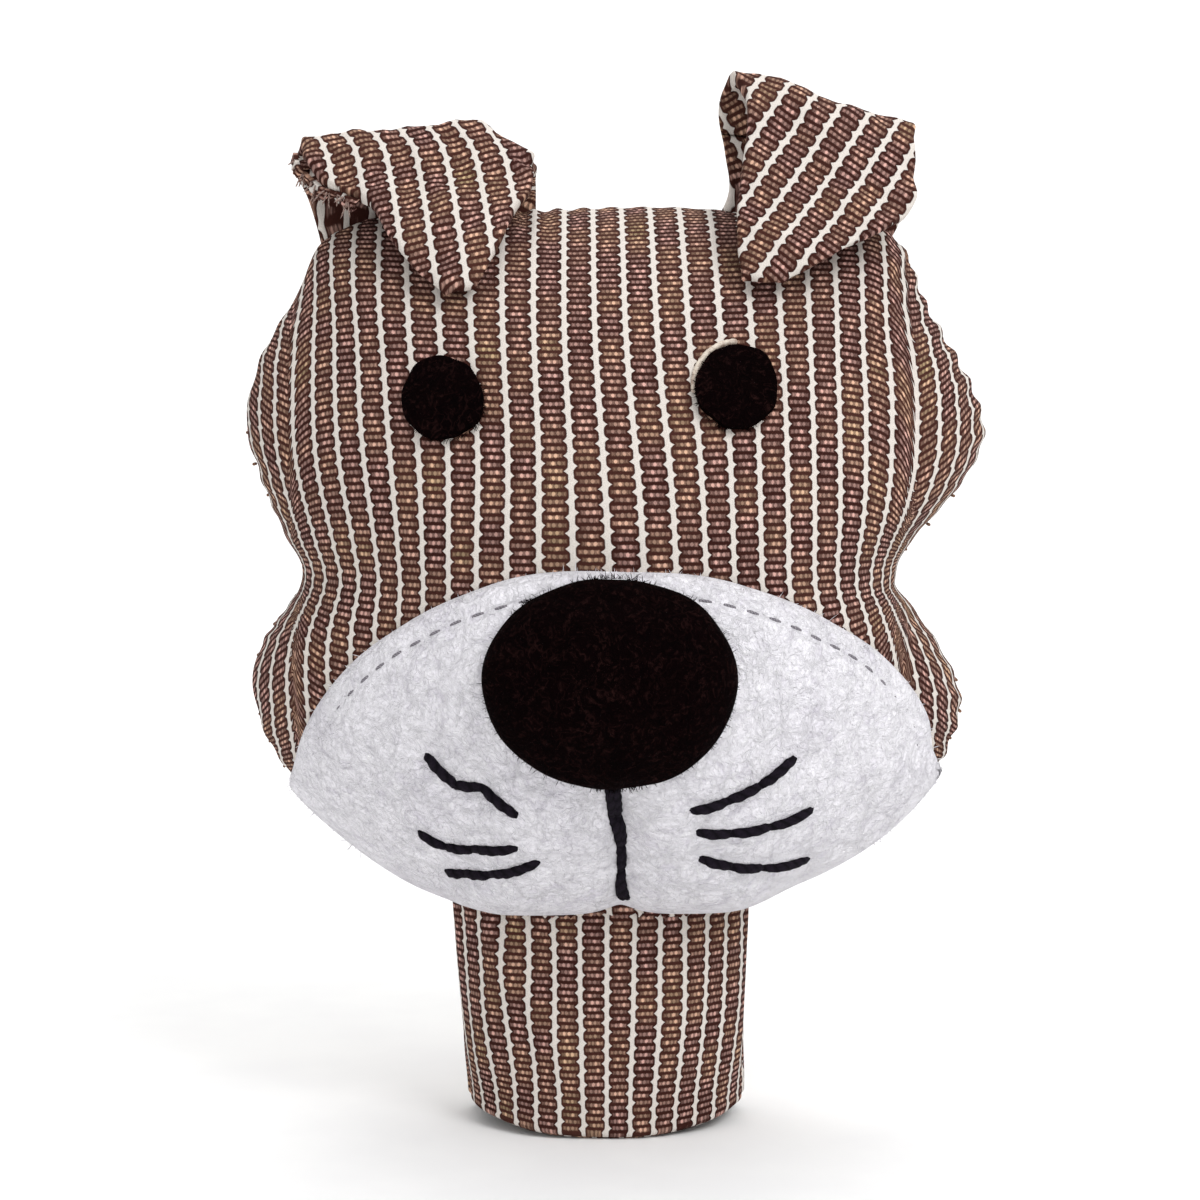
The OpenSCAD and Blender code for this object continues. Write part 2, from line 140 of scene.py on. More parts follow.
def follow(line: Points, marks: Points, at: Points) -> Points:
    """Rows read between a line's rows.

    Args:
        line: The rows.
        marks: Where along the way each row stands.
        at: Where along the way to read.

    Returns:
        One row for each place asked for.
    """
    return np.column_stack([np.interp(at, marks, column) for column in np.asarray(line, dtype=float).T])


def path_length(line: Points) -> Points:
    """Distance along a line of places, from its first one."""
    return np.insert(np.cumsum(np.linalg.norm(np.diff(line, axis=0), axis=1)), 0, 0)


@dataclass
class Outline:
    """A closed outline, smooth through a few points given as shares of its half width and height."""

    points: Sequence[tuple[float, float]]
    half_w: float
    half_h: float
    angles: Points = field(init=False)
    radii: Points = field(init=False)
    slopes: Points = field(init=False)

    def __post_init__(self) -> None:
        """Turns the points into angles and radii, with a turn to spare on each side."""
        spots = np.array(self.points) * (self.half_w, self.half_h)
        angle = np.degrees(np.arctan2(spots[:, 1], spots[:, 0])) % 360
        order = np.argsort(angle)
        angle = angle[order]
        radius = np.hypot(*spots.T)[order]
        self.angles = np.concatenate([angle - 360, angle, angle + 360])
        self.radii = np.tile(radius, 3)
        self.slopes = np.zeros_like(self.radii)
        self.slopes[1:-1] = (self.radii[2:] - self.radii[:-2]) / (self.angles[2:] - self.angles[:-2])

    def radius(self, angle: Points) -> Points:
        """Radius at an angle in degrees."""
        turn = np.asarray(angle) % 360
        i = np.searchsorted(self.angles, turn, side="right") - 1
        width = self.angles[i + 1] - self.angles[i]
        u = (turn - self.angles[i]) / width
        return (
            (2 * u**3 - 3 * u**2 + 1) * self.radii[i]
            + (u**3 - 2 * u**2 + u) * self.slopes[i] * width
            + (3 * u**2 - 2 * u**3) * self.radii[i + 1]
            + (u**3 - u**2) * self.slopes[i + 1] * width
        )


HEAD_OUTLINE = (
    (0.80, 0.03), (0.965, 0.25), (1.0, 0.38), (0.85, 0.72), (0.74, 0.94), (0.30, 1.0), (-0.21, 1.0),
    (-0.765, 0.93), (-0.85, 0.77), (-0.995, 0.38), (-0.88, 0.07), (-0.845, -0.06), (-0.975, -0.29),
    (-0.94, -0.54), (-0.72, -0.81), (-0.475, -0.97), (0, -1.0), (0.40, -0.97), (0.73, -0.795),
    (0.92, -0.54), (0.95, -0.38), (0.79, -0.13), (0.753, -0.07),
)
NOSE_OUTLINE = (
    (1.0, 0.05), (0.80, 0.66), (0.30, 0.97), (-0.25, 0.98), (-0.80, 0.62), (-1.0, 0.02),
    (-0.70, -0.70), (-0.15, -1.0), (0.45, -0.92), (0.85, -0.52),
)
# the felt's upper edge, from its right corner over the nose to its left corner
MUZZLE_ARC = (
    (1.03, -0.30), (1.0, -0.14), (0.975, 0.07), (0.83, 0.43), (0.65, 0.67), (0.385, 0.90), (0.02, 1.0),
    (-0.38, 0.90), (-0.63, 0.66), (-0.83, 0.35), (-0.965, -0.03), (-1.01, -0.27), (-1.04, -0.45),
)


@dataclass
class HeadForm:
    """The stuffed head's surface: a height over the seam plane, with puckers where it is sewn."""

    height: float = 75.5
    span: float = 1.995
    fullness: float = 0.62
    oval_share: float = 0.95
    pucker: float = 0.30
    pucker_pitch: float = 3.3
    lump: float = 0.22
    waist_fold: float = 0.45
    outline: Outline = field(init=False)
    centre_x: float = field(init=False)
    centre_z: float = field(init=False)
    depth: dict[Side, float] = field(init=False)

    def __post_init__(self) -> None:
        """Takes the head's width, depths and place from the frame."""
        low, high = node_box("head_front_panel")
        half_w = (high[0] - low[0]) / self.span
        self.centre_x = high[0] - half_w
        self.centre_z = high[2] - self.height / 2
        self.depth = {Side.FACE: -low[1], Side.NAPE: node_box("head_back_panel")[1][1]}
        self.outline = Outline(HEAD_OUTLINE, half_w, self.height / 2)

    def rise(self, x: Points, z: Points, side: Side, lift: float = 0.0) -> Points:
        """Height over the seam plane.

        Args:
            x: Places across, from the head's middle.
            z: Places up, from the head's middle.
            side: Face or nape.
            lift: How far the whole surface is grown outwards.

        Returns:
            The height at each place, 0 outside the outline.
        """
        angle = np.degrees(np.arctan2(z, x))
        turn = np.radians(angle)
        rho = np.hypot(x, z)
        edge = self.outline.radius(angle) + lift
        oval = lift + 1 / np.hypot(
            np.cos(turn) / (self.oval_share * self.outline.half_w), np.sin(turn) / self.outline.half_h
        )
        share = np.minimum(rho / edge, 1)
        q = rho / (oval + (edge - oval) * share**2)
        return (self.depth[side] + lift) * np.maximum(0, 1 - q * q) ** self.fullness

    def face_y(self, x: Points, z: Points) -> Points:
        """The face's y at places in the frame, without puckers."""
        return -self.rise(np.asarray(x) - self.centre_x, np.asarray(z) - self.centre_z, Side.FACE)

    def bottom(self, x: Points, y: Points) -> Points:
        """Height in the frame at which the head's underside passes a place (x, y).

        Args:
            x: Places across, in the frame.
            y: Places front to back, in the frame.

        Returns:
            The z of the underside there.
        """
        low = np.full_like(x, self.centre_z - self.height / 2 - 1)
        high = np.full_like(x, self.centre_z - self.height / 5)
        for _ in range(24):
            z = (low + high) / 2
            rise = np.where(
                y < 0,
                self.rise(x - self.centre_x, z - self.centre_z, Side.FACE),
                self.rise(x - self.centre_x, z - self.centre_z, Side.NAPE),
            )
            inside = rise > np.maximum(np.abs(y), 0.05)
            high = np.where(inside, z, high)
            low = np.where(inside, low, z)
        return (low + high) / 2

    def unevenness(self, x: Points, z: Points, rise: Points, side: Side) -> Points:
        """How far the stuffed cloth stands in or out of the plain form.

        Args:
            x: Places across, from the head's middle.
            z: Places up, from the head's middle.
            rise: The plain form's height there.
            side: Face or nape.

        Returns:
            The distance, outwards.
        """
        angle = np.degrees(np.arctan2(z, x))
        rho = np.hypot(x, z)
        edge = self.outline.radius(angle)
        along = np.radians(angle) * edge
        seed = 11 if side is Side.FACE else 23
        near = np.exp(-np.maximum(edge - rho, 0) / 3.0)
        wobble = 1.0 * np.sin(along / 7.3 + seed)
        gathers = np.sin(2 * math.pi * along / self.pucker_pitch + wobble)
        out = self.pucker * near * gathers * (0.6 + 0.4 * np.sin(along / 8.3 + seed))
        for middle in (-6.5, 176.5):
            off = (angle - middle + 180) % 360 - 180
            fan = np.cos(np.radians(off) * 13) * bump(off, 26)
            out = out + self.waist_fold * fan * np.exp(-np.maximum(edge - rho, 0) / 6.0)
        out = out + self.lump * ripple(x, z, 26, seed) * ease(rise, 1, 9)
        groove = 0.85 * bump(rise, 0.8)
        return out * (1 - bump(rise, 0.4)) - groove


class ArcMap:
    """Distances along the head's cloth, so that its stripes stay a stripe apart on the surface."""

    step = 0.12

    def __init__(self, form: HeadForm, side: Side) -> None:
        """Measures the cloth across and up.

        Args:
            form: The head.
            side: Face or nape.
        """
        self.reach_x = form.outline.half_w + 4
        self.reach_z = form.outline.half_h + 4
        xs = np.arange(-self.reach_x, self.reach_x, self.step)
        zs = np.arange(-self.reach_z, self.reach_z, self.step)
        across, up = np.meshgrid(xs, zs, indexing="ij")
        rise = form.rise(across, up, side)
        self.u = self.run(rise, 0)
        self.v = self.run(rise, 1)

    def run(self, rise: Points, axis: int) -> Points:
        """Length along the surface from the middle, along one axis of the grid."""
        slope = np.diff(rise, axis=axis)
        length = np.cumsum(np.hypot(slope, self.step), axis=axis)
        length = np.insert(length, 0, 0, axis=axis)
        middle = np.take(length, [length.shape[axis] // 2], axis=axis)
        return length - middle

    def at(self, x: Points, z: Points) -> tuple[Points, Points]:
        """Cloth coordinates in millimetres at places relative to the head's middle."""
        i = np.clip((x + self.reach_x) / self.step, 0, self.u.shape[0] - 1.001)
        k = np.clip((z + self.reach_z) / self.step, 0, self.u.shape[1] - 1.001)
        i0, k0 = i.astype(int), k.astype(int)
        part_i, part_k = i - i0, k - k0
        picked = []
        for table in (self.u, self.v):
            near = table[i0, k0] * (1 - part_i) + table[i0 + 1, k0] * part_i
            far = table[i0, k0 + 1] * (1 - part_i) + table[i0 + 1, k0 + 1] * part_i
            picked.append(near * (1 - part_k) + far * part_k)
        return picked[0], picked[1]


# ---- the bench: Blender's operators, one piece at a time --------------------


class Bench:
    """Operators as a maker uses them by hand."""

    @staticmethod
    def clear() -> None:
        """Deselects everything."""
        bpy.ops.object.select_all(action="DESELECT")

    @staticmethod
    def pick(*pieces: bpy.types.Object) -> None:
        """Selects these pieces and nothing else; the last is the active one."""
        Bench.clear()
        for piece in pieces:
            piece.select_set(True)
        bpy.context.view_layer.objects.active = pieces[-1]

    @staticmethod
    def grid(name: str, across: int, up: int) -> bpy.types.Object:
        """Adds a flat grid from -1 to 1.

        Args:
            name: The piece's name.
            across: Cells along x.
            up: Cells along y.

        Returns:
            The new piece.
        """
        Bench.clear()
        bpy.ops.mesh.primitive_grid_add(x_subdivisions=across, y_subdivisions=up, size=2)
        piece = bpy.context.object
        piece.name = name
        piece.data.name = name
        return piece

    @staticmethod
    def spots(piece: bpy.types.Object) -> Points:
        """The piece's vertices, one row each."""
        return Bench.read(piece.data.vertices, "co")

    @staticmethod
    def strip(name: str, across: int, up: int) -> tuple[bpy.types.Object, Points, Points]:
        """Adds a grid and reads it as a strip: the piece, and each vertex's a and b from -1 to 1."""
        piece = Bench.grid(name, across, up)
        a, b = Bench.spots(piece)[:, :2].T
        return piece, a, b

    @staticmethod
    def disc(name: str, cells: int) -> tuple[bpy.types.Object, Points, Points, Points]:
        """Adds a grid and reads it as a disc: the piece, shares outwards, degrees and radians."""
        piece = Bench.grid(name, cells, cells)
        share, angle = Bench.disc_shares(piece)
        return piece, share, angle, np.radians(angle)

    @staticmethod
    def place(piece: bpy.types.Object, spots: Points) -> None:
        """Moves the vertices to places given in millimetres."""
        piece.data.vertices.foreach_set("co", (spots * MM).astype(np.float32).ravel())
        piece.data.update()

    @staticmethod
    def lay_cloth(piece: bpy.types.Object, u: Points, v: Points) -> None:
        """Writes each vertex's place on the flat cloth, in millimetres, to the UV map."""
        index = np.empty(len(piece.data.loops), np.int32)
        piece.data.loops.foreach_get("vertex_index", index)
        pairs = np.column_stack([u[index], v[index]]).astype(np.float32)
        piece.data.uv_layers[0].data.foreach_set("uv", pairs.ravel())

    @staticmethod
    def read(items: bpy.types.bpy_prop_collection, what: str) -> Points:
        """Three numbers for each of a mesh's vertices or faces, one row each."""
        flat = np.empty(len(items) * 3, np.float32)
        items.foreach_get(what, flat)
        return flat.reshape(-1, 3).astype(float)

    @staticmethod
    def open_mesh(piece: bpy.types.Object, action: str = "SELECT") -> None:
        """Goes into edit mode with every face selected, or none."""
        Bench.pick(piece)
        bpy.ops.object.mode_set(mode="EDIT")
        bpy.ops.mesh.select_mode(type="FACE")
        bpy.ops.mesh.select_all(action=action)

    @staticmethod
    def close_mesh() -> None:
        """Goes back to object mode."""
        bpy.ops.object.mode_set(mode="OBJECT")

    @staticmethod
    def drop_faces(piece: bpy.types.Object, gone: Callable[[Points], Points]) -> None:
        """Deletes the faces whose centres a test picks.

        Args:
            piece: The piece.
            gone: Takes the centres in millimetres and returns True for each face to delete.
        """
        picked = gone(Bench.read(piece.data.polygons, "center") / MM)
        Bench.open_mesh(piece, "DESELECT")
        Bench.close_mesh()
        piece.data.polygons.foreach_set("select", picked)
        bpy.ops.object.mode_set(mode="EDIT")
        bpy.ops.mesh.delete(type="FACE")
        Bench.close_mesh()

    @staticmethod
    def weld(piece: bpy.types.Object, reach: float = 0.01) -> None:
        """Merges vertices that lie together, within a reach in millimetres."""
        Bench.open_mesh(piece)
        bpy.ops.mesh.remove_doubles(threshold=reach * MM)
        bpy.ops.mesh.normals_make_consistent(inside=False)
        Bench.close_mesh()

    @staticmethod
    def face_away(piece: bpy.types.Object, middle: Place) -> None:
        """Turns a sheet's faces away from a point given in millimetres."""
        faces = piece.data.polygons
        out = Bench.read(faces, "center") - np.array(middle) * MM
        if np.sum(out * Bench.read(faces, "normal")) < 0:
            Bench.open_mesh(piece)
            bpy.ops.mesh.flip_normals()
            Bench.close_mesh()

    @staticmethod
    def modify(piece: bpy.types.Object, kind: str, **settings: object) -> None:
        """Adds a modifier and applies it.

        Args:
            piece: The piece.
            kind: The modifier's type.
            settings: Its properties.
        """
        Bench.pick(piece)
        modifier = piece.modifiers.new(kind.title(), kind)
        for name, value in settings.items():
            setattr(modifier, name, value)
        bpy.ops.object.modifier_apply(modifier=modifier.name)

    @staticmethod
    def thicken(piece: bpy.types.Object, thickness: float, offset: float) -> None:
        """Gives a sheet its thickness in millimetres; offset -1 grows inwards and 1 outwards."""
        Bench.modify(piece, "SOLIDIFY", thickness=thickness * MM, offset=offset, use_rim=True)

    @staticmethod
    def round_edges(piece: bpy.types.Object, width: float, segments: int) -> None:
        """Rounds a cut edge by a width in millimetres."""
        corner = math.radians(50)
        Bench.modify(
            piece, "BEVEL", width=width * MM, segments=segments, limit_method="ANGLE", angle_limit=corner
        )

    @staticmethod
    def smooth(piece: bpy.types.Object, angle: float = 60) -> None:
        """Shades a piece smooth, with creases sharper than an angle in degrees kept."""
        Bench.pick(piece)
        bpy.ops.object.shade_smooth_by_angle(angle=math.radians(angle))

    @staticmethod
    def join(name: str, pieces: Sequence[bpy.types.Object]) -> bpy.types.Object:
        """Joins pieces into one with this name."""
        Bench.pick(*pieces)
        if len(pieces) > 1:
            bpy.ops.object.join()
        joined = bpy.context.view_layer.objects.active
        joined.name = name
        joined.data.name = name
        return joined

    @staticmethod
    def disc_shares(piece: bpy.types.Object) -> tuple[Points, Points]:
        """Reads a square grid as a disc.

        Args:
            piece: A grid from -1 to 1.

        Returns:
            Each vertex's share of the way out and its angle in degrees.
        """
        a, b = Bench.spots(piece)[:, :2].T
        x = a * np.sqrt(np.maximum(0, 1 - b * b / 2))
        y = b * np.sqrt(np.maximum(0, 1 - a * a / 2))
        return np.minimum(np.hypot(x, y), 1), np.degrees(np.arctan2(y, x))


def cloth_size(piece: bpy.types.Object) -> tuple[tuple[float, float], float]:
    """The flat size of a sheet from its UV map.

    Args:
        piece: A sheet without thickness, its cloth laid in millimetres.

    Returns:
        Width and length in metres, and the flat area in square metres.
    """
    mesh = piece.data
    flat = np.empty(len(mesh.loops) * 2, np.float32)
    mesh.uv_layers[0].data.foreach_get("uv", flat)
    pairs = flat.reshape(-1, 2)
    width, length = (pairs.max(0) - pairs.min(0)) * MM
    area = sum(face.area for face in mesh.polygons)
    floor_side = 0.01
    width, length = max(float(width), floor_side), max(float(length), floor_side)
    return (width, length), min(max(area, 0.31 * width * length), width * length)


# ---- finishes ---------------------------------------------------------------


class Shader:
    """A small helper that adds and wires shader nodes."""

    def __init__(self, name: str) -> None:
        """Starts a material with a Principled shader."""
        self.material = bpy.data.materials.new(name)
        self.material.use_nodes = True
        self.tree = self.material.node_tree
        self.body = self.tree.nodes["Principled BSDF"]

    def add(self, kind: str, **values: object) -> bpy.types.Node:
        """Adds a node and sets its properties."""
        node = self.tree.nodes.new(kind)
        for name, value in values.items():
            setattr(node, name, value)
        return node

    def wire(self, source: object, target: bpy.types.NodeSocket) -> None:
        """Links a socket, or writes a plain value, to another socket."""
        if isinstance(source, bpy.types.NodeSocket):
            self.tree.links.new(source, target)
        else:
            target.default_value = source

    def math(self, operation: str, *inputs: object) -> bpy.types.NodeSocket:
        """A Math node's result."""
        node = self.add("ShaderNodeMath", operation=operation)
        for i, value in enumerate(inputs):
            self.wire(value, node.inputs[i])
        return node.outputs[0]

    def plus(self, a: object, b: object) -> bpy.types.NodeSocket:
        """The sum of two values."""
        return self.math("ADD", a, b)

    def minus(self, a: object, b: object) -> bpy.types.NodeSocket:
        """The difference of two values."""
        return self.math("SUBTRACT", a, b)

    def times(self, a: object, b: object) -> bpy.types.NodeSocket:
        """The product of two values."""
        return self.math("MULTIPLY", a, b)

    def over(self, a: object, b: object) -> bpy.types.NodeSocket:
        """One value divided by another."""
        return self.math("DIVIDE", a, b)

    def bulk(self, value: object) -> bpy.types.NodeSocket:
        """A value without its sign."""
        return self.math("ABSOLUTE", value)

    def whole(self, value: object) -> bpy.types.NodeSocket:
        """The whole number under a value."""
        return self.math("FLOOR", value)

    def rest(self, value: object) -> bpy.types.NodeSocket:
        """What a value stands over its whole number."""
        return self.math("FRACT", value)

    def span(
        self, value: object, low: float, high: float, to_low: float = 0.0, to_high: float = 1.0
    ) -> bpy.types.NodeSocket:
        """A smooth step of a value between two limits."""
        node = self.add("ShaderNodeMapRange", interpolation_type="SMOOTHSTEP")
        for i, entry in enumerate((value, low, high, to_low, to_high)):
            self.wire(entry, node.inputs[i])
        return node.outputs[0]

    def mix(
        self, share: object, first: object, second: object, blend: str = "MIX"
    ) -> bpy.types.NodeSocket:
        """A mix of two colours."""
        node = self.add("ShaderNodeMix", data_type="RGBA", blend_type=blend)
        for socket, value in ((node.inputs[0], share), (node.inputs[6], first), (node.inputs[7], second)):
            colour = (*value, 1.0) if isinstance(value, tuple) and len(value) == 3 else value
            self.wire(colour, socket)
        return node.outputs[2]

    def noise(self, vector: object, scale: float, detail: float = 2.0, rough: float = 0.5) -> bpy.types.Node:
        """A Noise texture."""
        node = self.add("ShaderNodeTexNoise")
        node.inputs["Scale"].default_value = scale
        node.inputs["Detail"].default_value = detail
        node.inputs["Roughness"].default_value = rough
        self.wire(vector, node.inputs["Vector"])
        return node

    def grey(
        self, vector: object, scale: float, detail: float = 2.0, rough: float = 0.5
    ) -> bpy.types.NodeSocket:
        """A Noise texture's value."""
        return self.noise(vector, scale, detail, rough).outputs["Fac"]

    def object_place(self) -> bpy.types.NodeSocket:
        """Object coordinates, in metres."""
        return self.add("ShaderNodeTexCoord").outputs["Object"]

    def cloth_place(self) -> bpy.types.NodeSocket:
        """The piece's own cloth coordinates, in millimetres."""
        return self.add("ShaderNodeTexCoord").outputs["UV"]

    def parts(self, vector: object) -> tuple[object, object, object]:
        """A vector's three numbers."""
        node = self.add("ShaderNodeSeparateXYZ")
        self.wire(vector, node.inputs[0])
        return node.outputs[0], node.outputs[1], node.outputs[2]

    def joined(self, x: object, y: object, z: object = 0.0) -> bpy.types.NodeSocket:
        """Three numbers as a vector."""
        node = self.add("ShaderNodeCombineXYZ")
        for i, value in enumerate((x, y, z)):
            self.wire(value, node.inputs[i])
        return node.outputs[0]

    def paint(self, colour: bpy.types.NodeSocket) -> None:
        """Sets the base colour."""
        self.wire(colour, self.body.inputs["Base Color"])

    def relief(self, height: object, depth: float, strength: float = 1.0) -> None:
        """Bumps the surface by a height from 0 to 1, times a depth in metres."""
        node = self.add("ShaderNodeBump")
        node.inputs["Distance"].default_value = depth
        node.inputs["Strength"].default_value = strength
        self.wire(height, node.inputs["Height"])
        self.wire(node.outputs[0], self.body.inputs["Normal"])

    def dress(self, rough: float, sheen: float, tint: Colour, spec: float = 0.3) -> None:
        """Sets the even values: roughness, sheen and its tint, and specular level."""
        self.body.inputs["Roughness"].default_value = rough
        self.body.inputs["Sheen Weight"].default_value = sheen
        self.body.inputs["Sheen Roughness"].default_value = 0.5
        self.body.inputs["Sheen Tint"].default_value = (*tint, 1.0)
        self.body.inputs["Specular IOR Level"].default_value = spec


@dataclass(frozen=True)
class StripedCloth:
    """Brown woven cotton with raised cream ribs, patterned in millimetres on the cloth's UV map."""

    name: str = "striped_cloth"
    pitch: float = 3.24
    shift: float = 1.25
    row: float = 0.785
    loop_pitch: float = 0.62
    core: float = 0.27
    cusp: float = 0.42
    dark: Colour = (0.034, 0.0085, 0.0060)
    dark_warm: Colour = (0.060, 0.020, 0.014)
    tan: Colour = (0.40, 0.245, 0.170)
    mauve: Colour = (0.37, 0.215, 0.185)
    olive: Colour = (0.35, 0.250, 0.140)
    cream: Colour = (0.74, 0.69, 0.64)
    cream_shade: Colour = (0.66, 0.60, 0.55)
    spread: float = 0.075

    def moved(self, s: Shader) -> bpy.types.NodeSocket:
        """Cloth coordinates pushed about a little, as yarns never lie quite straight."""
        cloth = s.cloth_place()
        jitter = s.noise(cloth, 1.7, 2.0)
        push = s.add("ShaderNodeVectorMath", operation="SUBTRACT")
        s.wire(jitter.outputs["Color"], push.inputs[0])
        push.inputs[1].default_value = (0.5, 0.5, 0.5)
        scaled = s.add("ShaderNodeVectorMath", operation="SCALE")
        s.wire(push.outputs[0], scaled.inputs[0])
        scaled.inputs["Scale"].default_value = self.spread * 2
        moved = s.add("ShaderNodeVectorMath", operation="ADD")
        s.wire(cloth, moved.inputs[0])
        s.wire(scaled.outputs[0], moved.inputs[1])
        return moved.outputs[0]

    def material(self) -> bpy.types.Material:
        """Builds the material."""
        s = Shader(self.name)
        cloth = s.cloth_place()
        u, v, _ = s.parts(self.moved(s))

        # distance from the nearest rib's middle, negative to its left, and from the band's middle
        turns = s.over(s.plus(u, self.shift), self.pitch)
        rib_no = s.whole(s.plus(turns, 0.5))
        off = s.times(s.minus(turns, rib_no), self.pitch)
        band = s.whole(turns)
        seat = s.times(s.minus(s.minus(turns, band), 0.5), self.pitch)

        # the rib's cusps reach out between brown rows, on its two sides by turns
        rows = s.plus(s.over(v, self.row), s.times(band, 0.37))
        pair = s.times(s.minus(rows, 0.5), 0.5)
        side = s.math("GREATER_THAN", off, 0.0)
        phase = s.plus(pair, s.times(side, 0.5))
        tau = s.bulk(s.minus(s.times(s.rest(phase), 2.0), 1.0))
        point = s.math("POWER", s.math("MAXIMUM", s.minus(s.times(tau, 1.8), 0.8), 0.0), 1.5)
        edge = s.plus(self.core, s.times(point, self.cusp))
        gap = s.minus(edge, s.bulk(off))
        rib = s.span(gap, -0.05, 0.05)

        # rows of light loops laid like bricks, fading towards the band's edges
        level = s.whole(rows)
        odd = s.rest(s.times(level, 0.5))
        lean = s.times(s.minus(0.25, odd), self.loop_pitch)
        along = s.over(s.plus(seat, lean), self.loop_pitch)
        loop_no = s.whole(along)
        across = s.times(s.minus(s.rest(along), 0.5), self.loop_pitch / 0.225)
        up = s.times(s.minus(s.rest(rows), 0.5), self.row / 0.235)
        far = s.plus(s.times(across, across), s.times(up, up))
        shoulder = s.span(s.bulk(s.plus(seat, lean)), 1.10, 0.55)
        loop = s.times(s.span(far, 1.45, 0.35), shoulder)
        bed = s.times(s.span(s.bulk(up), 1.15, 0.5), s.times(shoulder, 0.40))

        # yarns differ from band to band, along each band and from loop to loop
        tone = s.grey(s.joined(s.times(band, 7.31), s.times(v, 0.16)), 1.0, 1.0)
        speck = s.add("ShaderNodeTexWhiteNoise", noise_dimensions="3D")
        s.wire(s.joined(band, loop_no, level), speck.inputs["Vector"])
        warm = s.mix(s.span(tone, 0.40, 0.60), self.mauve, self.tan)
        yarn = s.mix(s.span(tone, 0.60, 0.80), warm, self.olive)
        bright = s.span(speck.outputs["Value"], 0.2, 1.0, 0.80, 2.0)
        lit = s.mix(1.0, yarn, s.joined(bright, bright, bright), "MULTIPLY")
        ground = s.mix(s.span(tone, 0.3, 0.7), self.dark, self.dark_warm)
        brown = s.mix(s.math("MAXIMUM", loop, bed), ground, lit)

        # the cream rib has a soft back, lint and small grey dips along its middle
        dip = s.span(tau, 0.45, 0.1)
        middle = s.span(s.bulk(off), 0.20, 0.02)
        grey = s.times(s.times(dip, middle), 0.22)
        fleck = s.grey(cloth, 7.0, 3.0)
        cream = s.mix(s.span(fleck, 0.35, 0.62), self.cream_shade, self.cream)
        cream = s.mix(grey, cream, (0.45, 0.42, 0.40))
        colour = s.mix(rib, brown, cream)
        fine = s.grey(cloth, 20.0, 3.0, 0.7)
        shade = s.span(fine, 0.25, 0.75, 0.78, 1.16)
        colour = s.mix(1.0, colour, s.joined(shade, shade, shade), "MULTIPLY")
        s.paint(colour)

        back = s.math("MAXIMUM", s.minus(1.0, s.times(s.times(off, off), 1.6)), 0.0)
        height = s.plus(s.times(s.times(back, rib), 0.9), s.times(loop, 0.8))
        height = s.plus(height, s.times(fine, 0.22))
        s.relief(height, 0.00020, 0.8)
        s.dress(0.95, 0.0, (1, 1, 1), 0.12)
        return s.material


@dataclass(frozen=True)
class Felt:
    """Pressed wool felt with tangled fibres and a soft bloom."""

    name: str
    wool: Wool
    sheen: float
    fibre: float = 0.00012

    def material(self) -> bpy.types.Material:
        """Builds the material."""
        base, dark_fleck_and_shade, pale = self.wool.value
        black = self.wool is Wool.BLACK
        s = Shader(self.name)
        place = s.object_place()
        pull = s.noise(place, 260.0, 3.0, 0.6)
        warp = s.add("ShaderNodeVectorMath", operation="MULTIPLY_ADD")
        s.wire(pull.outputs["Color"], warp.inputs[0])
        warp.inputs[1].default_value = (0.0055, 0.0055, 0.0055)
        s.wire(place, warp.inputs[2])
        fuzz = s.grey(warp.outputs[0], 1500.0, 4.0, 0.72)
        tuft = s.grey(warp.outputs[0], 520.0, 4.0, 0.68)
        cloud = s.grey(place, 95.0, 3.0, 0.6)
        hair = s.add("ShaderNodeTexVoronoi", feature="DISTANCE_TO_EDGE")
        hair.inputs["Scale"].default_value = 330.0
        s.wire(warp.outputs[0], hair.inputs["Vector"])
        strand = s.span(hair.outputs["Distance"], 0.035, 0.0)
        colour = s.mix(s.span(fuzz, 0.50, 0.72), base, pale)
        # painted shade: where the tuft bump is lowest, the felt is painted towards its darker tone
        colour = s.mix(s.times(s.span(tuft, 0.50, 0.30), 0.55), colour, dark_fleck_and_shade)
        colour = s.mix(s.times(s.span(cloud, 0.52, 0.74), 0.25), colour, dark_fleck_and_shade)
        thin = s.times(strand, s.span(cloud, 0.45, 0.6))
        colour = s.mix(s.times(thin, 0.6 if black else 0.22), colour, pale if black else dark_fleck_and_shade)
        s.paint(colour)
        height = s.plus(fuzz, s.times(tuft, 2.0))
        height = s.plus(height, s.times(thin, 0.12))
        s.relief(height, self.fibre * 5.0, 0.95)
        s.dress(1.0, self.sheen, pale if black else (1, 1, 1), 0.02 if black else 0.12)
        return s.material


@dataclass(frozen=True)
class Thread:
    """Twisted thread: fine plies that wind along the strand's own UV map, in millimetres."""

    name: str
    colour: Colour
    shade: Colour
    ply: float = 1.3
    rough: float = 0.85

    def material(self) -> bpy.types.Material:
        """Builds the material."""
        s = Shader(self.name)
        u, v, _ = s.parts(s.cloth_place())
        wind = s.rest(s.plus(s.over(v, self.ply), s.times(u, 2.0)))
        ply = s.bulk(s.minus(s.times(wind, 2.0), 1.0))
        fuzz = s.grey(s.object_place(), 5200.0, 3.0, 0.7)
        share = s.times(s.span(ply, 0.0, 0.6), s.span(fuzz, 0.2, 0.7))
        s.paint(s.mix(share, self.shade, self.colour))
        height = s.plus(ply, s.times(fuzz, 0.5))
        s.relief(height, 0.00010, 0.8)
        s.dress(self.rough, 0.03, self.colour, 0.10)
        return s.material


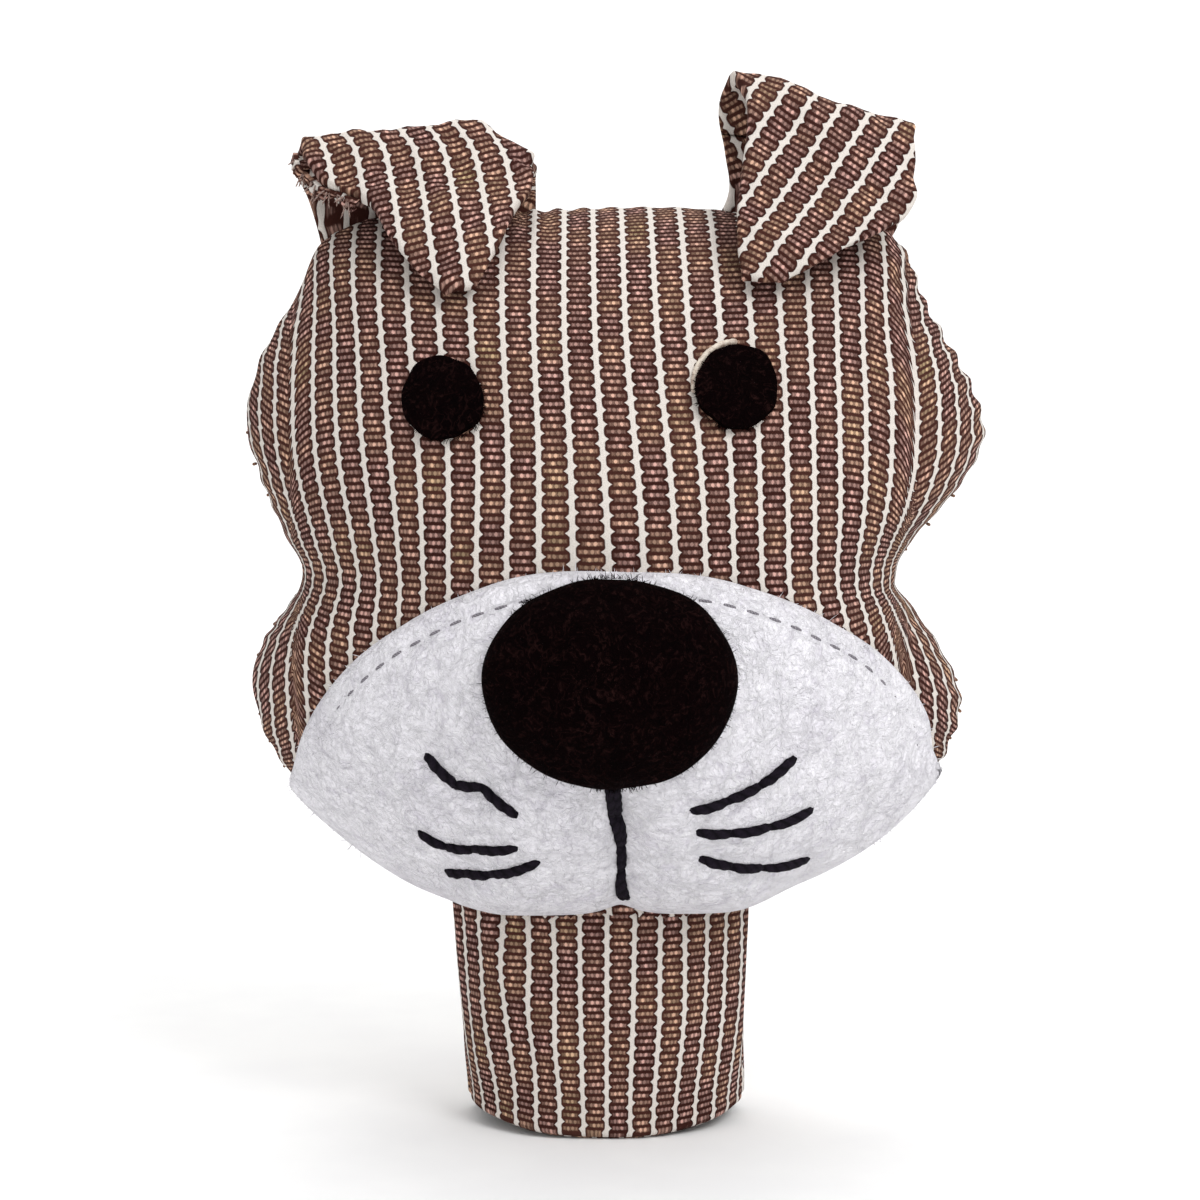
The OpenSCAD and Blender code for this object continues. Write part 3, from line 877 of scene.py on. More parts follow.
@dataclass(frozen=True)
class LiningCloth:
    """Thin plain-woven cotton for the inside."""

    name: str = "lining_cloth"
    pitch: float = 0.42
    colour: Colour = (0.50, 0.40, 0.29)
    shade: Colour = (0.30, 0.22, 0.15)

    def material(self) -> bpy.types.Material:
        """Builds the material."""
        s = Shader(self.name)
        u, v, _ = s.parts(s.cloth_place())
        a = s.math("SINE", s.times(u, 2 * math.pi / self.pitch))
        b = s.math("SINE", s.times(v, 2 * math.pi / self.pitch))
        weave = s.times(s.plus(s.times(a, b), 1.0), 0.5)
        slub = s.grey(s.cloth_place(), 1.3, 4.0, 0.6)
        share = s.times(weave, s.span(slub, 0.2, 0.65))
        s.paint(s.mix(share, self.shade, self.colour))
        s.relief(weave, 0.0001, 0.7)
        s.dress(0.9, 0.15, (0.9, 0.85, 0.75))
        return s.material


@dataclass(frozen=True)
class Fibrefill:
    """White polyester filling, in loose clumps."""

    name: str = "filling"

    def material(self) -> bpy.types.Material:
        """Builds the material."""
        s = Shader(self.name)
        place = s.object_place()
        clump = s.grey(place, 180.0, 5.0, 0.7)
        hair = s.grey(place, 1500.0, 5.0, 0.8)
        # painted shade: grey in the hollows between clumps, where the bump is lowest, and white on their
        # tops
        colour = s.mix(s.span(clump, 0.3, 0.7), (0.62, 0.62, 0.63), (0.86, 0.86, 0.85))
        s.paint(colour)
        s.relief(s.plus(clump, s.times(hair, 0.4)), 0.0009, 0.8)
        s.dress(1.0, 0.3, (1, 1, 1))
        return s.material


@dataclass(frozen=True)
class Glue:
    """Dried clear glue with lint in it."""

    name: str = "dried_glue"
    clear: Colour = (0.70, 0.62, 0.52)
    dull: Colour = (0.40, 0.30, 0.24)

    def material(self) -> bpy.types.Material:
        """Builds the material."""
        s = Shader(self.name)
        lint = s.grey(s.object_place(), 1400.0, 4.0, 0.7)
        s.paint(s.mix(s.span(lint, 0.4, 0.65), self.clear, self.dull))
        s.relief(lint, 0.0001, 0.7)
        s.dress(0.45, 0.0, (1, 1, 1), 0.5)
        return s.material


@dataclass(frozen=True)
class StudioPaper:
    """Pale seamless paper for the floor."""

    name: str = "studio_paper"
    shade: Colour = (0.90, 0.90, 0.90)
    sheet: Colour = (0.93, 0.93, 0.925)

    def material(self) -> bpy.types.Material:
        """Builds the material."""
        s = Shader(self.name)
        grain = s.grey(s.object_place(), 60.0, 3.0)
        s.paint(s.mix(s.span(grain, 0.3, 0.7), self.shade, self.sheet))
        s.dress(0.9, 0.0, (1, 1, 1), 0.1)
        return s.material


class Finishes:
    """Every finish of the puppet, each made once."""

    def __init__(self) -> None:
        """Builds the materials."""
        self.cloth = StripedCloth().material()
        self.white_felt = Felt("white_felt", Wool.WHITE, 0.25).material()
        self.black_felt = Felt("black_felt", Wool.BLACK, 0.0).material()
        self.floss = Thread("black_floss", (0.013, 0.009, 0.016), (0.003, 0.002, 0.004)).material()
        self.grey = Thread("grey_thread", (0.34, 0.32, 0.35), (0.14, 0.13, 0.15), 0.3).material()
        self.brown = Thread("seam_thread", (0.30, 0.17, 0.11), (0.12, 0.06, 0.04), 0.3).material()
        self.lining = LiningCloth().material()
        self.filling = Fibrefill().material()
        self.glue = Glue().material()
        self.bare_thread = Thread("loose_thread", (0.50, 0.38, 0.34), (0.15, 0.08, 0.06), 0.5).material()


def dress(piece: bpy.types.Object, material: bpy.types.Material, slot: str, body: str | None) -> None:
    """Gives a finished piece its material and the body it rides on, and logs its slot.

    Args:
        piece: The piece.
        material: Its finish.
        slot: The name of its material slot, which is only logged.
        body: The CAD body, or None for a piece that is left unattached.
    """
    piece.data.materials.clear()
    piece.data.materials.append(material)
    if body:
        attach(piece, body)
    log.info("%s: %d faces, %s", piece.name, len(piece.data.polygons), slot)


# ---- thread ------------------------------------------------------------------


@dataclass(frozen=True)
class Strand:
    """A length of twisted floss or thread laid along a line."""

    radius: float
    sides: int = 10
    rings: int = 14
    lobes: int = 2
    groove: float = 0.16
    twist: float = 2.6

    def stitch(self, name: str, line: Points, normal: Points) -> bpy.types.Object:
        """Makes one stitch.

        Args:
            name: The piece's name.
            line: Places along the stitch, in millimetres, one row each.
            normal: The surface's outward direction at each place.

        Returns:
            A closed strand with round ends.
        """
        piece, a, b = Bench.strip(name, self.sides, self.rings)
        theta = math.pi * a
        t = (b + 1) / 2
        run = path_length(line)
        s = t * run[-1]
        centre = follow(line, run, s)
        tangent = unit(follow(np.gradient(line, run, axis=0), run, s))
        across = unit(np.cross(tangent, follow(normal, run, s)))
        up = np.cross(across, tangent)
        end = np.minimum(s, run[-1] - s)
        taper = np.sqrt(np.clip(1 - np.clip(1 - end / self.radius, 0, 1) ** 2, 0, 1))
        wind = theta - self.twist * s / self.radius / 4
        rope = 1 - self.groove * (1 - np.abs(np.cos(self.lobes * wind)))
        r = self.radius * taper * rope
        spots = centre + r[:, None] * (np.cos(theta)[:, None] * across + np.sin(theta)[:, None] * up)
        Bench.place(piece, spots)
        Bench.lay_cloth(piece, theta / (2 * math.pi), s)
        Bench.weld(piece, 0.002)
        Bench.smooth(piece, 80)
        return piece

    def sew(self, name: str, lines: Sequence[tuple[Points, Points]]) -> bpy.types.Object:
        """Makes every stitch of a run and joins them.

        Args:
            name: The piece's name.
            lines: A line and its normals for each stitch.

        Returns:
            The run as one piece.
        """
        made = [self.stitch(f"{name}_{i}", line, normal) for i, (line, normal) in enumerate(lines)]
        return Bench.join(name, made)


@dataclass(frozen=True)
class Fuzz:
    """Loose fibres that stand out of a cut edge of felt."""

    radius: float = 0.035
    sides: int = 4
    rings: int = 5
    shortest: float = 0.35
    longest: float = 1.1
    tangle: float = 0.42
    bend: float = 0.3

    def grow(self, name: str, roots: Points, out: Points, seed: int) -> bpy.types.Object:
        """Makes one fibre at each root.

        Args:
            name: The piece's name.
            roots: Where each fibre starts, in millimetres.
            out: The way out of the felt at each root.
            seed: Picks how the fibres lie.

        Returns:
            The fibres as one piece.
        """
        draw = np.random.default_rng(seed)
        count = len(roots)
        piece, a, b = Bench.strip(name, self.sides, self.rings)
        Bench.modify(piece, "ARRAY", count=count)
        way = unit(out * draw.uniform(0.2, 1.0, (count, 1)) + draw.normal(0, self.tangle, (count, 3)))
        side = unit(np.cross(way, (0.31, -0.9, 0.27)))
        up = np.cross(side, way)
        t = ((b + 1) / 2)[None, :, None]
        length = draw.uniform(self.shortest, self.longest, (count, 1, 1))
        bend = draw.normal(0, self.bend, (count, 1, 3))
        centre = roots[:, None] + length * (way[:, None] * t + bend * t**2)
        theta = (math.pi * a)[None, :, None]
        ring = np.cos(theta) * side[:, None] + np.sin(theta) * up[:, None]
        spots = (centre + self.radius * np.sin(math.pi * t) ** 0.4 * ring).reshape(-1, 3)
        Bench.place(piece, spots)
        Bench.lay_cloth(piece, spots[:, 0], spots[:, 2])
        Bench.weld(piece, 0.002)
        Bench.smooth(piece, 80)
        return piece


# ---- head --------------------------------------------------------------------


@dataclass
class Head:
    """The striped head: face and nape cloth, filling and the thread of its seam."""

    form: HeadForm
    finishes: Finishes
    cells: int = 150
    cloth: float = 0.7
    seam_gap: float = 0.1
    opening: tuple[float, float] = (14.6, 9.4)
    opening_corner: float = 2.6
    stripe_lean: float = 0.048
    upright_at: float = 12.0
    fill: float = 0.85
    inset: float = 2.4

    def spots(self, piece: bpy.types.Object, side: Side) -> tuple[Points, Points, Points]:
        """Shapes a grid to one side of the head.

        Args:
            piece: A grid from -1 to 1.
            side: Face or nape.

        Returns:
            The places in the frame, and the x and z they came from.
        """
        share, angle = Bench.disc_shares(piece)
        turn = np.radians(angle)
        rho = np.sin(share * math.pi / 2) * self.form.outline.radius(angle)
        x, z = rho * np.cos(turn), rho * np.sin(turn)
        rise = self.form.rise(x, z, side)
        step = 0.05
        slope_x = (self.form.rise(x + step, z, side) - self.form.rise(x - step, z, side)) / (2 * step)
        slope_z = (self.form.rise(x, z + step, side) - self.form.rise(x, z - step, side)) / (2 * step)
        rim = ease(share, 0.9, 1.0)[:, None]
        normal = unit(np.column_stack([-slope_x, np.ones_like(x), -slope_z]))
        radial = np.column_stack([np.cos(turn), np.zeros_like(x), np.sin(turn)])
        normal = unit(normal * (1 - rim) + radial * rim)
        out = self.form.unevenness(x, z, rise, side)
        spots = np.column_stack([x, rise + self.seam_gap, z]) + normal * out[:, None]
        spots[:, 1] *= side.value
        return spots + (self.form.centre_x, 0, self.form.centre_z), x, z

    def in_opening(self, centres: Points) -> Points:
        """True for faces that the sleeve takes the place of."""
        oval = np.sum((np.abs(centres[:, :2]) / self.opening) ** self.opening_corner, axis=1)
        return (oval < 1) & (centres[:, 2] < self.form.centre_z - self.form.height / 4)

    def panel(self, side: Side) -> None:
        """Makes the cloth of one side.

        Args:
            side: Face or nape.
        """
        name, node = {
            Side.FACE: ("head_face_cloth", "head_front_panel"),
            Side.NAPE: ("head_nape_cloth", "head_back_panel"),
        }[side]
        piece = Bench.grid(name, self.cells, self.cells)
        spots, x, z = self.spots(piece, side)
        u, v = ArcMap(self.form, side).at(x, z)
        u = u - self.stripe_lean * (self.upright_at - z) + 0.30 * ripple(x, z, 38, 5 + side.value)
        Bench.place(piece, spots)
        Bench.lay_cloth(piece, u, v)
        Bench.face_away(piece, (self.form.centre_x, 0, self.form.centre_z))
        Bench.drop_faces(piece, self.in_opening)
        flat, area = cloth_size(piece)
        Bench.thicken(piece, self.cloth, -1)
        Bench.smooth(piece)
        dress(piece, self.finishes.cloth, "striped_cloth", "head")
        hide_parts(node)

    def filling(self) -> None:
        """Makes the filling as one closed cushion inside the cloth."""
        halves = []
        for side in Side:
            piece, share, angle, turn = Bench.disc(f"half_{side.name}", 56)
            rho = np.sin(share * math.pi / 2) * (self.form.outline.radius(angle) - self.inset)
            x, z = rho * np.cos(turn), rho * np.sin(turn)
            rise = self.form.rise(x, z, side, -self.inset)
            rise = np.where(share > 0.999, 0, rise * (1 + 0.02 * ripple(x, z, 9, 31)))
            spots = np.column_stack([x, side.value * rise, z])
            Bench.place(piece, spots + (self.form.centre_x, 0, self.form.centre_z))
            halves.append(piece)
        piece = Bench.join("head_filling", halves)
        Bench.weld(piece, 0.05)
        Bench.smooth(piece)
        dress(piece, self.finishes.filling, "filling", "head")
        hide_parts("head_stuffing")

    def build(self) -> None:
        """Makes every piece of the head."""
        self.filling()
        for side in Side:
            self.panel(side)
        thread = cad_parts["head_seam_stitches"]
        dress(thread, self.finishes.brown, "seam_thread", None)


# ---- muzzle ------------------------------------------------------------------


@dataclass
class Muzzle:
    """The white felt muzzle with its filling, top-stitching, nose, mouth and whiskers."""

    form: HeadForm
    finishes: Finishes
    half_w: float = 34.5
    half_h: float = 18.5
    felt: float = 1.3
    swell: float = 4.6
    fullness: float = 0.6
    chin: float = 4.6
    chin_drop: float = 18.75
    mouth_x: float = 0.7
    lobe: float = 1.8
    lobe_out: float = 12.0
    lobe_down: float = 10.5
    lobe_size: tuple[float, float] = (8.0, 7.5)
    cleft: float = 2.3
    cleft_w: float = 2.4
    stitch_groove: float = 0.34
    dimple: float = 0.55
    dimple_r: float = 1.7
    cells: int = 132
    stitch_inset: float = 1.7
    stitch_pitch: float = 2.6
    stitch_length: float = 1.55
    whisker_floss: float = 0.6
    mouth_floss: float = 0.58
    nose_shift: Place = (-0.5, 0, 0.6)
    nose_trim: tuple[float, float] = (1.2, 0.95)
    nose_dome: float = 3.1
    arc: Outline = field(init=False)
    centre: tuple[float, float] = field(init=False)
    border: tuple[Points, Points] = field(init=False)

    def __post_init__(self) -> None:
        """Takes the muzzle's place from the frame and traces its edge."""
        top = node_box("muzzle_felt")[1][2]
        self.centre = (self.form.centre_x, top - self.half_h)
        self.arc = Outline(MUZZLE_ARC, self.half_w, self.half_h)
        angle = np.arange(0, 360.5, 0.5)
        turn = np.radians(angle)
        reach = np.linspace(8, 75, 1500)
        x = self.centre[0] + np.outer(np.cos(turn), reach) - self.form.centre_x
        z = self.centre[1] + np.outer(np.sin(turn), reach) - self.form.centre_z
        inside = np.hypot(x, z) < self.form.outline.radius(np.degrees(np.arctan2(z, x))) - 0.95
        seam = reach[np.argmin(inside, axis=1)]
        down = np.maximum(-np.sin(turn), 1e-3)
        chin = np.where(np.sin(turn) < 0, self.chin_drop / down, 99)
        low, high = 196, 352
        arc = np.where((angle > low) & (angle < high), 99, self.arc.radius(angle))
        trim = 1.5 + 0.2 * np.maximum(np.sin(turn), 0) ** 4
        self.border = (angle, np.minimum(np.minimum(seam, chin), arc - trim))

    def edge(self, angle: Points) -> Points:
        """Distance of the felt's edge from the muzzle's middle."""
        return np.interp(np.asarray(angle) % 360, *self.border)

    def stretch(self, x: Points, z: Points) -> tuple[Points, Points]:
        """Share of the way to the edge, and the distance left to it, at places in the frame."""
        dx, dz = x - self.centre[0], z - self.centre[1]
        rho = np.hypot(dx, dz)
        edge = self.edge(np.degrees(np.arctan2(dz, dx)))
        return np.minimum(rho / edge, 1), edge - rho

    def inner_y(self, x: Points, z: Points) -> Points:
        """The felt's inner face: the head's cloth, the filling's swell, two lobes and a cleft.

        Args:
            x: Places across, in the frame.
            z: Places up, in the frame.

        Returns:
            The y at each place.
        """
        share, left = self.stretch(x, z)
        aside = np.abs(x - self.centre[0] - self.mouth_x)
        up = z - self.centre[1]
        swell = self.swell * np.maximum(0, 1 - share**2) ** self.fullness
        chin = self.chin * bump(up + self.chin_drop, 5.2) * ease(aside, 19.5, 12.0)
        lobes = bump(aside - self.lobe_out, self.lobe_size[0]) * bump(up + self.lobe_down, self.lobe_size[1])
        cleft = self.cleft * bump(aside, self.cleft_w) * ease(up, -1.0, -7.0)
        groove = self.stitch_groove * bump(left - self.stitch_inset, 0.75) * ease(up, -8.0, -4.0)
        soft = (0.16 * ripple(x, z, 9, 41) + 0.22 * ripple(x, z, 15, 47)) * ease(left, 0.5, 5)
        dimples = np.zeros_like(share)
        for line in WHISKERS.values():
            for px, pz in line:
                spot = np.hypot(x - self.centre[0] - px * self.half_w, up - pz * self.half_h)
                dimples = dimples + self.dimple * bump(spot, self.dimple_r)
        out = swell + chin + self.lobe * lobes - cleft - groove + soft - np.minimum(dimples, 0.9)
        return self.form.face_y(x, z) - 0.12 - np.maximum(out, 0)

    def outer(self, x: Points, z: Points) -> tuple[Points, Points]:
        """The felt's outer face above inner places.

        Args:
            x: Places across, in the frame.
            z: Places up, in the frame.

        Returns:
            Places on the outer face and their normals.
        """
        step = 0.15
        y = self.inner_y(x, z)
        slope_x = (self.inner_y(x + step, z) - self.inner_y(x - step, z)) / (2 * step)
        slope_z = (self.inner_y(x, z + step) - self.inner_y(x, z - step)) / (2 * step)
        normal = unit(np.column_stack([slope_x, -np.ones_like(x), slope_z]))
        return np.column_stack([x, y, z]) + self.felt * normal, normal

    def felt_sheet(self) -> None:
        """Makes the felt."""
        piece, share, angle, turn = Bench.disc("muzzle_felt_sheet", self.cells)
        rho = np.sin(share * math.pi / 2) ** 0.9 * self.edge(angle)
        x = self.centre[0] + rho * np.cos(turn)
        z = self.centre[1] + rho * np.sin(turn)
        y = self.inner_y(x, z)
        clear = 0.25 * ease(np.abs(x - self.centre[0]), 24, 30)
        Bench.place(piece, np.column_stack([x, np.minimum(y - clear, -0.3), z]))
        Bench.lay_cloth(piece, x, z)
        Bench.face_away(piece, (self.centre[0], 12, self.centre[1]))
        flat, area = cloth_size(piece)
        Bench.thicken(piece, self.felt, 1)
        Bench.round_edges(piece, 0.3, 2)
        Bench.smooth(piece, 75)
        dress(piece, self.finishes.white_felt, "white_felt", "head")
        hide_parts("muzzle_felt")

    def filling(self) -> None:
        """Makes the cushion of filling between the face and the felt."""
        sheets = []
        for name, top in (("over", True), ("under", False)):
            piece, share, angle, turn = Bench.disc(f"muzzle_filling_{name}", 48)
            rho = share * (self.edge(angle) - 2.6)
            x = self.centre[0] + rho * np.cos(turn)
            z = self.centre[1] + rho * np.sin(turn)
            base = self.form.face_y(x, z) - 0.08
            y = np.minimum(self.inner_y(x, z) + 0.3, base) if top else base
            y = np.where(share > 0.999, base, y)
            Bench.place(piece, np.column_stack([x, y, z]))
            sheets.append(piece)
        piece = Bench.join("muzzle_filling", sheets)
        Bench.weld(piece, 0.03)
        Bench.smooth(piece)
        dress(piece, self.finishes.filling, "filling", "head")
        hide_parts("muzzle_stuffing")

    def line(self, ends: Sequence[tuple[float, float]], sink: float, arch: float) -> tuple[Points, Points]:
        """A stitch's line over the felt between places in the frame.

        Args:
            ends: Its two ends, as (x, z).
            sink: How far the ends go under the felt.
            arch: How far the middle stands over the felt.

        Returns:
            Places along the stitch and the normals there.
        """
        t = np.linspace(0, 1, 9)
        x = ends[0][0] + (ends[1][0] - ends[0][0]) * t
        z = ends[0][1] + (ends[1][1] - ends[0][1]) * t
        spots, normal = self.outer(x, z)
        lift = arch * np.sin(math.pi * t) ** 0.5 - sink * (1 - np.sin(math.pi * t) ** 0.5)
        return spots + normal * lift[:, None], normal

    def shares_line(self, shares: Sequence[tuple[float, float]]) -> list[tuple[float, float]]:
        """Places in the frame for shares of the muzzle's half width and half height."""
        return [(self.centre[0] + a * self.half_w, self.centre[1] + b * self.half_h) for a, b in shares]

    def embroider(
        self, name: str, node: str, shares: Sequence[tuple[float, float]], radius: float, strands: int
    ) -> None:
        """Sews back stitches of floss along a line.

        Args:
            name: The piece's name.
            node: The CAD node it stands for.
            shares: The line, as shares of the muzzle's half size.
            radius: The floss's radius.
            strands: How many strands lie side by side.
        """
        places = self.shares_line(shares)
        lines = []
        for i, (start, end) in enumerate(zip(places, places[1:])):
            run = unit(np.array([end]) - start)[0]
            cross = np.array([-run[1], run[0]])
            for strand in range(strands):
                off = cross * radius * (1.25 * (strand - (strands - 1) / 2))
                sway = cross * 0.34 * (-1) ** i
                a = tuple(np.array(start) - 0.35 * run + off + sway * 0.5)
                b = tuple(np.array(end) + 0.35 * run + off - sway * 0.5)
                lines.append(self.line((a, b), 0.75, radius * 0.35))
        piece = Strand(radius, rings=22, groove=0.24).sew(name, lines)
        dress(piece, self.finishes.floss, "black_floss", "head")
        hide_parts(node)

    def top_stitching(self) -> None:
        """Sews the grey line along the felt's upper edge, evenly by its length."""
        angles = np.linspace(-3, 188, 800)
        turn = np.radians(angles)
        rho = self.edge(angles) - self.stitch_inset
        x = self.centre[0] + rho * np.cos(turn)
        z = self.centre[1] + rho * np.sin(turn)
        spots, _ = self.outer(x, z)
        run = path_length(spots)
        edge = np.column_stack([x, z])
        lines = []
        for i in range(int(run[-1] / self.stitch_pitch)):
            start = i * self.stitch_pitch
            ends = follow(edge, run, np.array([start, start + self.stitch_length]))
            lines.append(self.line(ends, 0.22, 0.02))
        piece = Strand(0.17, sides=8, rings=8).sew("muzzle_top_stitching", lines)
        dress(piece, self.finishes.grey, "grey_thread", "head")
        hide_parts("muzzle_topstitching")

    def nose_form(self) -> tuple[Points, Outline]:
        """The nose's middle and its outline, from the frame."""
        low, high = node_box("nose_felt")
        half = (high - low) / 2
        middle = (low + high) / 2 + self.nose_shift
        return middle, Outline(NOSE_OUTLINE, half[0] - self.nose_trim[0], half[2] - self.nose_trim[1])

    def nose(self) -> None:
        """Makes the domed felt nose and the pad under it."""
        middle, outline = self.nose_form()
        thickness = self.felt
        for name, cells, inset, lift, wall in (
            ("nose_felt_cap", 64, 0.0, 0.0, thickness),
            ("nose_pad", 30, 2.0, -0.35, 0.0),
        ):
            piece, share, angle, turn = Bench.disc(name, cells)
            wave = 0.06 * np.sin(turn * 7 + 1) + 0.04 * np.sin(turn * 11)
            rho = np.sin(share * math.pi / 2) * (outline.radius(angle) + wave - inset - thickness * 0.25)
            x = middle[0] + rho * np.cos(turn)
            z = middle[2] + rho * np.sin(turn)
            base, _ = self.outer(x, z)
            swell = (self.nose_dome + lift) * np.maximum(0, 1 - share**2) ** 0.55
            soft = 0.10 * ripple(x, z, 7, 53)
            y = base[:, 1] - 0.1 - swell - soft * ease(share, 1.0, 0.8)
            Bench.place(piece, np.column_stack([x, y, z]))
            Bench.lay_cloth(piece, x, z)
            Bench.face_away(piece, (middle[0], 12, middle[2]))
            if wall:
                flat, area = cloth_size(piece)
                Bench.thicken(piece, wall, 1)
                Bench.round_edges(piece, 0.35, 3)
                Bench.smooth(piece, 75)
                dress(piece, self.finishes.black_felt, "black_felt", "head")
                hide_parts("nose_felt")
                size = (flat[0] * 1.15, flat[1] * 1.2)
                area = min(area, size[0] * size[1])
            else:
                Bench.thicken(piece, 1.6, -1)
                Bench.smooth(piece)
                dress(piece, self.finishes.filling, "filling", "head")
                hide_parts("nose_padding")

    def fuzz(self) -> None:
        """Makes the loose fibres along the felt's edge and round the nose."""
        draw = np.random.default_rng(5)
        angle = draw.uniform(-24, 206, 520)
        turn = np.radians(angle)
        out = np.column_stack([np.cos(turn), np.full_like(turn, -0.35), np.sin(turn)])
        rho = self.edge(angle) - 0.3
        spots, _ = self.outer(self.centre[0] + rho * np.cos(turn), self.centre[1] + rho * np.sin(turn))
        spots[:, 1] = np.minimum(spots[:, 1] + draw.uniform(0.1, 1.1, len(turn)), -1.0)
        piece = Fuzz().grow("muzzle_felt_fibres", spots, out, 8)
        dress(piece, self.finishes.white_felt, "white_felt", "head")
        middle, outline = self.nose_form()
        angle = draw.uniform(0, 360, 1200)
        turn = np.radians(angle)
        out = np.column_stack([np.cos(turn), np.full_like(turn, -0.15), np.sin(turn)])
        rho = outline.radius(angle) - 0.05
        spots, _ = self.outer(middle[0] + rho * np.cos(turn), middle[2] + rho * np.sin(turn))
        spots[:, 1] -= draw.uniform(0.1, 1.3, len(turn))
        piece = Fuzz(shortest=0.25, longest=0.85).grow("nose_felt_fibres", spots, out, 9)
        dress(piece, self.finishes.black_felt, "black_felt", "head")

    def build(self) -> None:
        """Makes every piece of the muzzle."""
        self.filling()
        self.felt_sheet()
        self.top_stitching()
        self.nose()
        self.fuzz()
        self.embroider("mouth_floss", "mouth_stitches", MOUTH, self.mouth_floss, 2)
        for name, line in WHISKERS.items():
            self.embroider(f"{name}_floss", name, line, self.whisker_floss, 1)


# places on the muzzle as shares of half its width and half its height
MOUTH = ((-0.015, -0.14), (-0.015, -0.36), (0.005, -0.55), (0.025, -0.70), (0.04, -0.90))
WHISKERS = {
    "whisker_left_upper": ((-0.54, -0.05), (-0.46, -0.19), (-0.38, -0.20), (-0.28, -0.34)),
    "whisker_left_middle": ((-0.57, -0.50), (-0.49, -0.56), (-0.41, -0.57), (-0.29, -0.53)),
    "whisker_left_lower": ((-0.49, -0.75), (-0.43, -0.74), (-0.36, -0.74), (-0.23, -0.62)),
    "whisker_right_upper": ((0.23, -0.31), (0.32, -0.26), (0.42, -0.19), (0.51, -0.04)),
    "whisker_right_middle": ((0.25, -0.45), (0.34, -0.45), (0.45, -0.44), (0.57, -0.35)),
    "whisker_right_lower": ((0.26, -0.62), (0.34, -0.66), (0.43, -0.70), (0.58, -0.68)),
}


# ---- eyes --------------------------------------------------------------------


@dataclass
class Eyes:
    """Two discs cut from black felt and glued to the face."""

    form: HeadForm
    finishes: Finishes
    thickness: float = 1.15
    trim: float = 0.3
    cells: int = 34

    def disc(self, name: str, node: str, seed: int, shift: float) -> None:
        """Makes one eye.

        Args:
            name: The piece's name.
            node: The CAD node it stands for.
            seed: Picks how unevenly it is cut.
            shift: How far it is glued to the right of its node.
        """
        low, high = node_box(node)
        middle = (low + high) / 2 + (shift, 0, -0.4)
        radius = (high[0] - low[0]) / 2 - self.trim
        piece, share, angle, turn = Bench.disc(name, self.cells)
        wave = 0.10 * np.sin(3 * turn + seed) + 0.07 * np.sin(5 * turn + 2 * seed) + 0.05 * np.sin(9 * turn)
        rho = share * (radius + wave)
        x = middle[0] + rho * np.cos(turn)
        z = middle[2] + rho * np.sin(turn)
        y = self.form.face_y(x, z) - 0.12 - 0.25 * (1 - share**2)
        Bench.place(piece, np.column_stack([x, y, z]))
        Bench.lay_cloth(piece, x, z)
        Bench.face_away(piece, (middle[0], 12, middle[2]))
        Bench.thicken(piece, self.thickness, 1)
        Bench.round_edges(piece, 0.25, 3)
        Bench.smooth(piece, 75)
        dress(piece, self.finishes.black_felt, "black_felt", "head")
        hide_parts(node)
        self.fibres(f"{node}_fibres", middle, radius, seed)

    def fibres(self, name: str, middle: Points, radius: float, seed: int) -> None:
        """Makes the loose fibres round one eye's edge.

        Args:
            name: The piece's name.
            middle: The eye's middle.
            radius: The eye's radius.
            seed: Picks how the fibres lie.
        """
        draw = np.random.default_rng(seed)
        turn = draw.uniform(0, 2 * math.pi, 300)
        x = middle[0] + (radius - 0.1) * np.cos(turn)
        z = middle[2] + (radius - 0.1) * np.sin(turn)
        roots = np.column_stack([x, self.form.face_y(x, z) - draw.uniform(0.2, 1.2, len(turn)), z])
        out = np.column_stack([np.cos(turn), np.full_like(turn, -0.2), np.sin(turn)])
        piece = Fuzz(shortest=0.2, longest=0.65).grow(name, roots, out, seed)
        dress(piece, self.finishes.black_felt, "black_felt", "head")

    def glue(self) -> None:
        """Makes the bead of glue that shows at the upper left of the right eye."""
        low, high = node_box("eye_right")
        middle = (low + high) / 2
        radius = (high[0] - low[0]) / 2
        turn = np.radians(np.linspace(88, 190, 22))
        x = middle[0] + (radius + 0.15) * np.cos(turn)
        z = middle[2] + (radius + 0.15) * np.sin(turn)
        spots = np.column_stack([x, self.form.face_y(x, z) - 0.15, z])
        normal = np.tile((0.0, -1.0, 0.0), (len(turn), 1))
        piece = Strand(0.36, lobes=3, groove=0.2, rings=40).stitch("eye_right_glue", spots, normal)
        dress(piece, self.finishes.glue, "seam_thread", "head")

    def build(self) -> None:
        """Makes both eyes."""
        self.disc("eye_left_felt", "eye_left", 2, 0.15)
        self.disc("eye_right_felt", "eye_right", 5, -0.25)
        self.glue()


# ---- ears --------------------------------------------------------------------


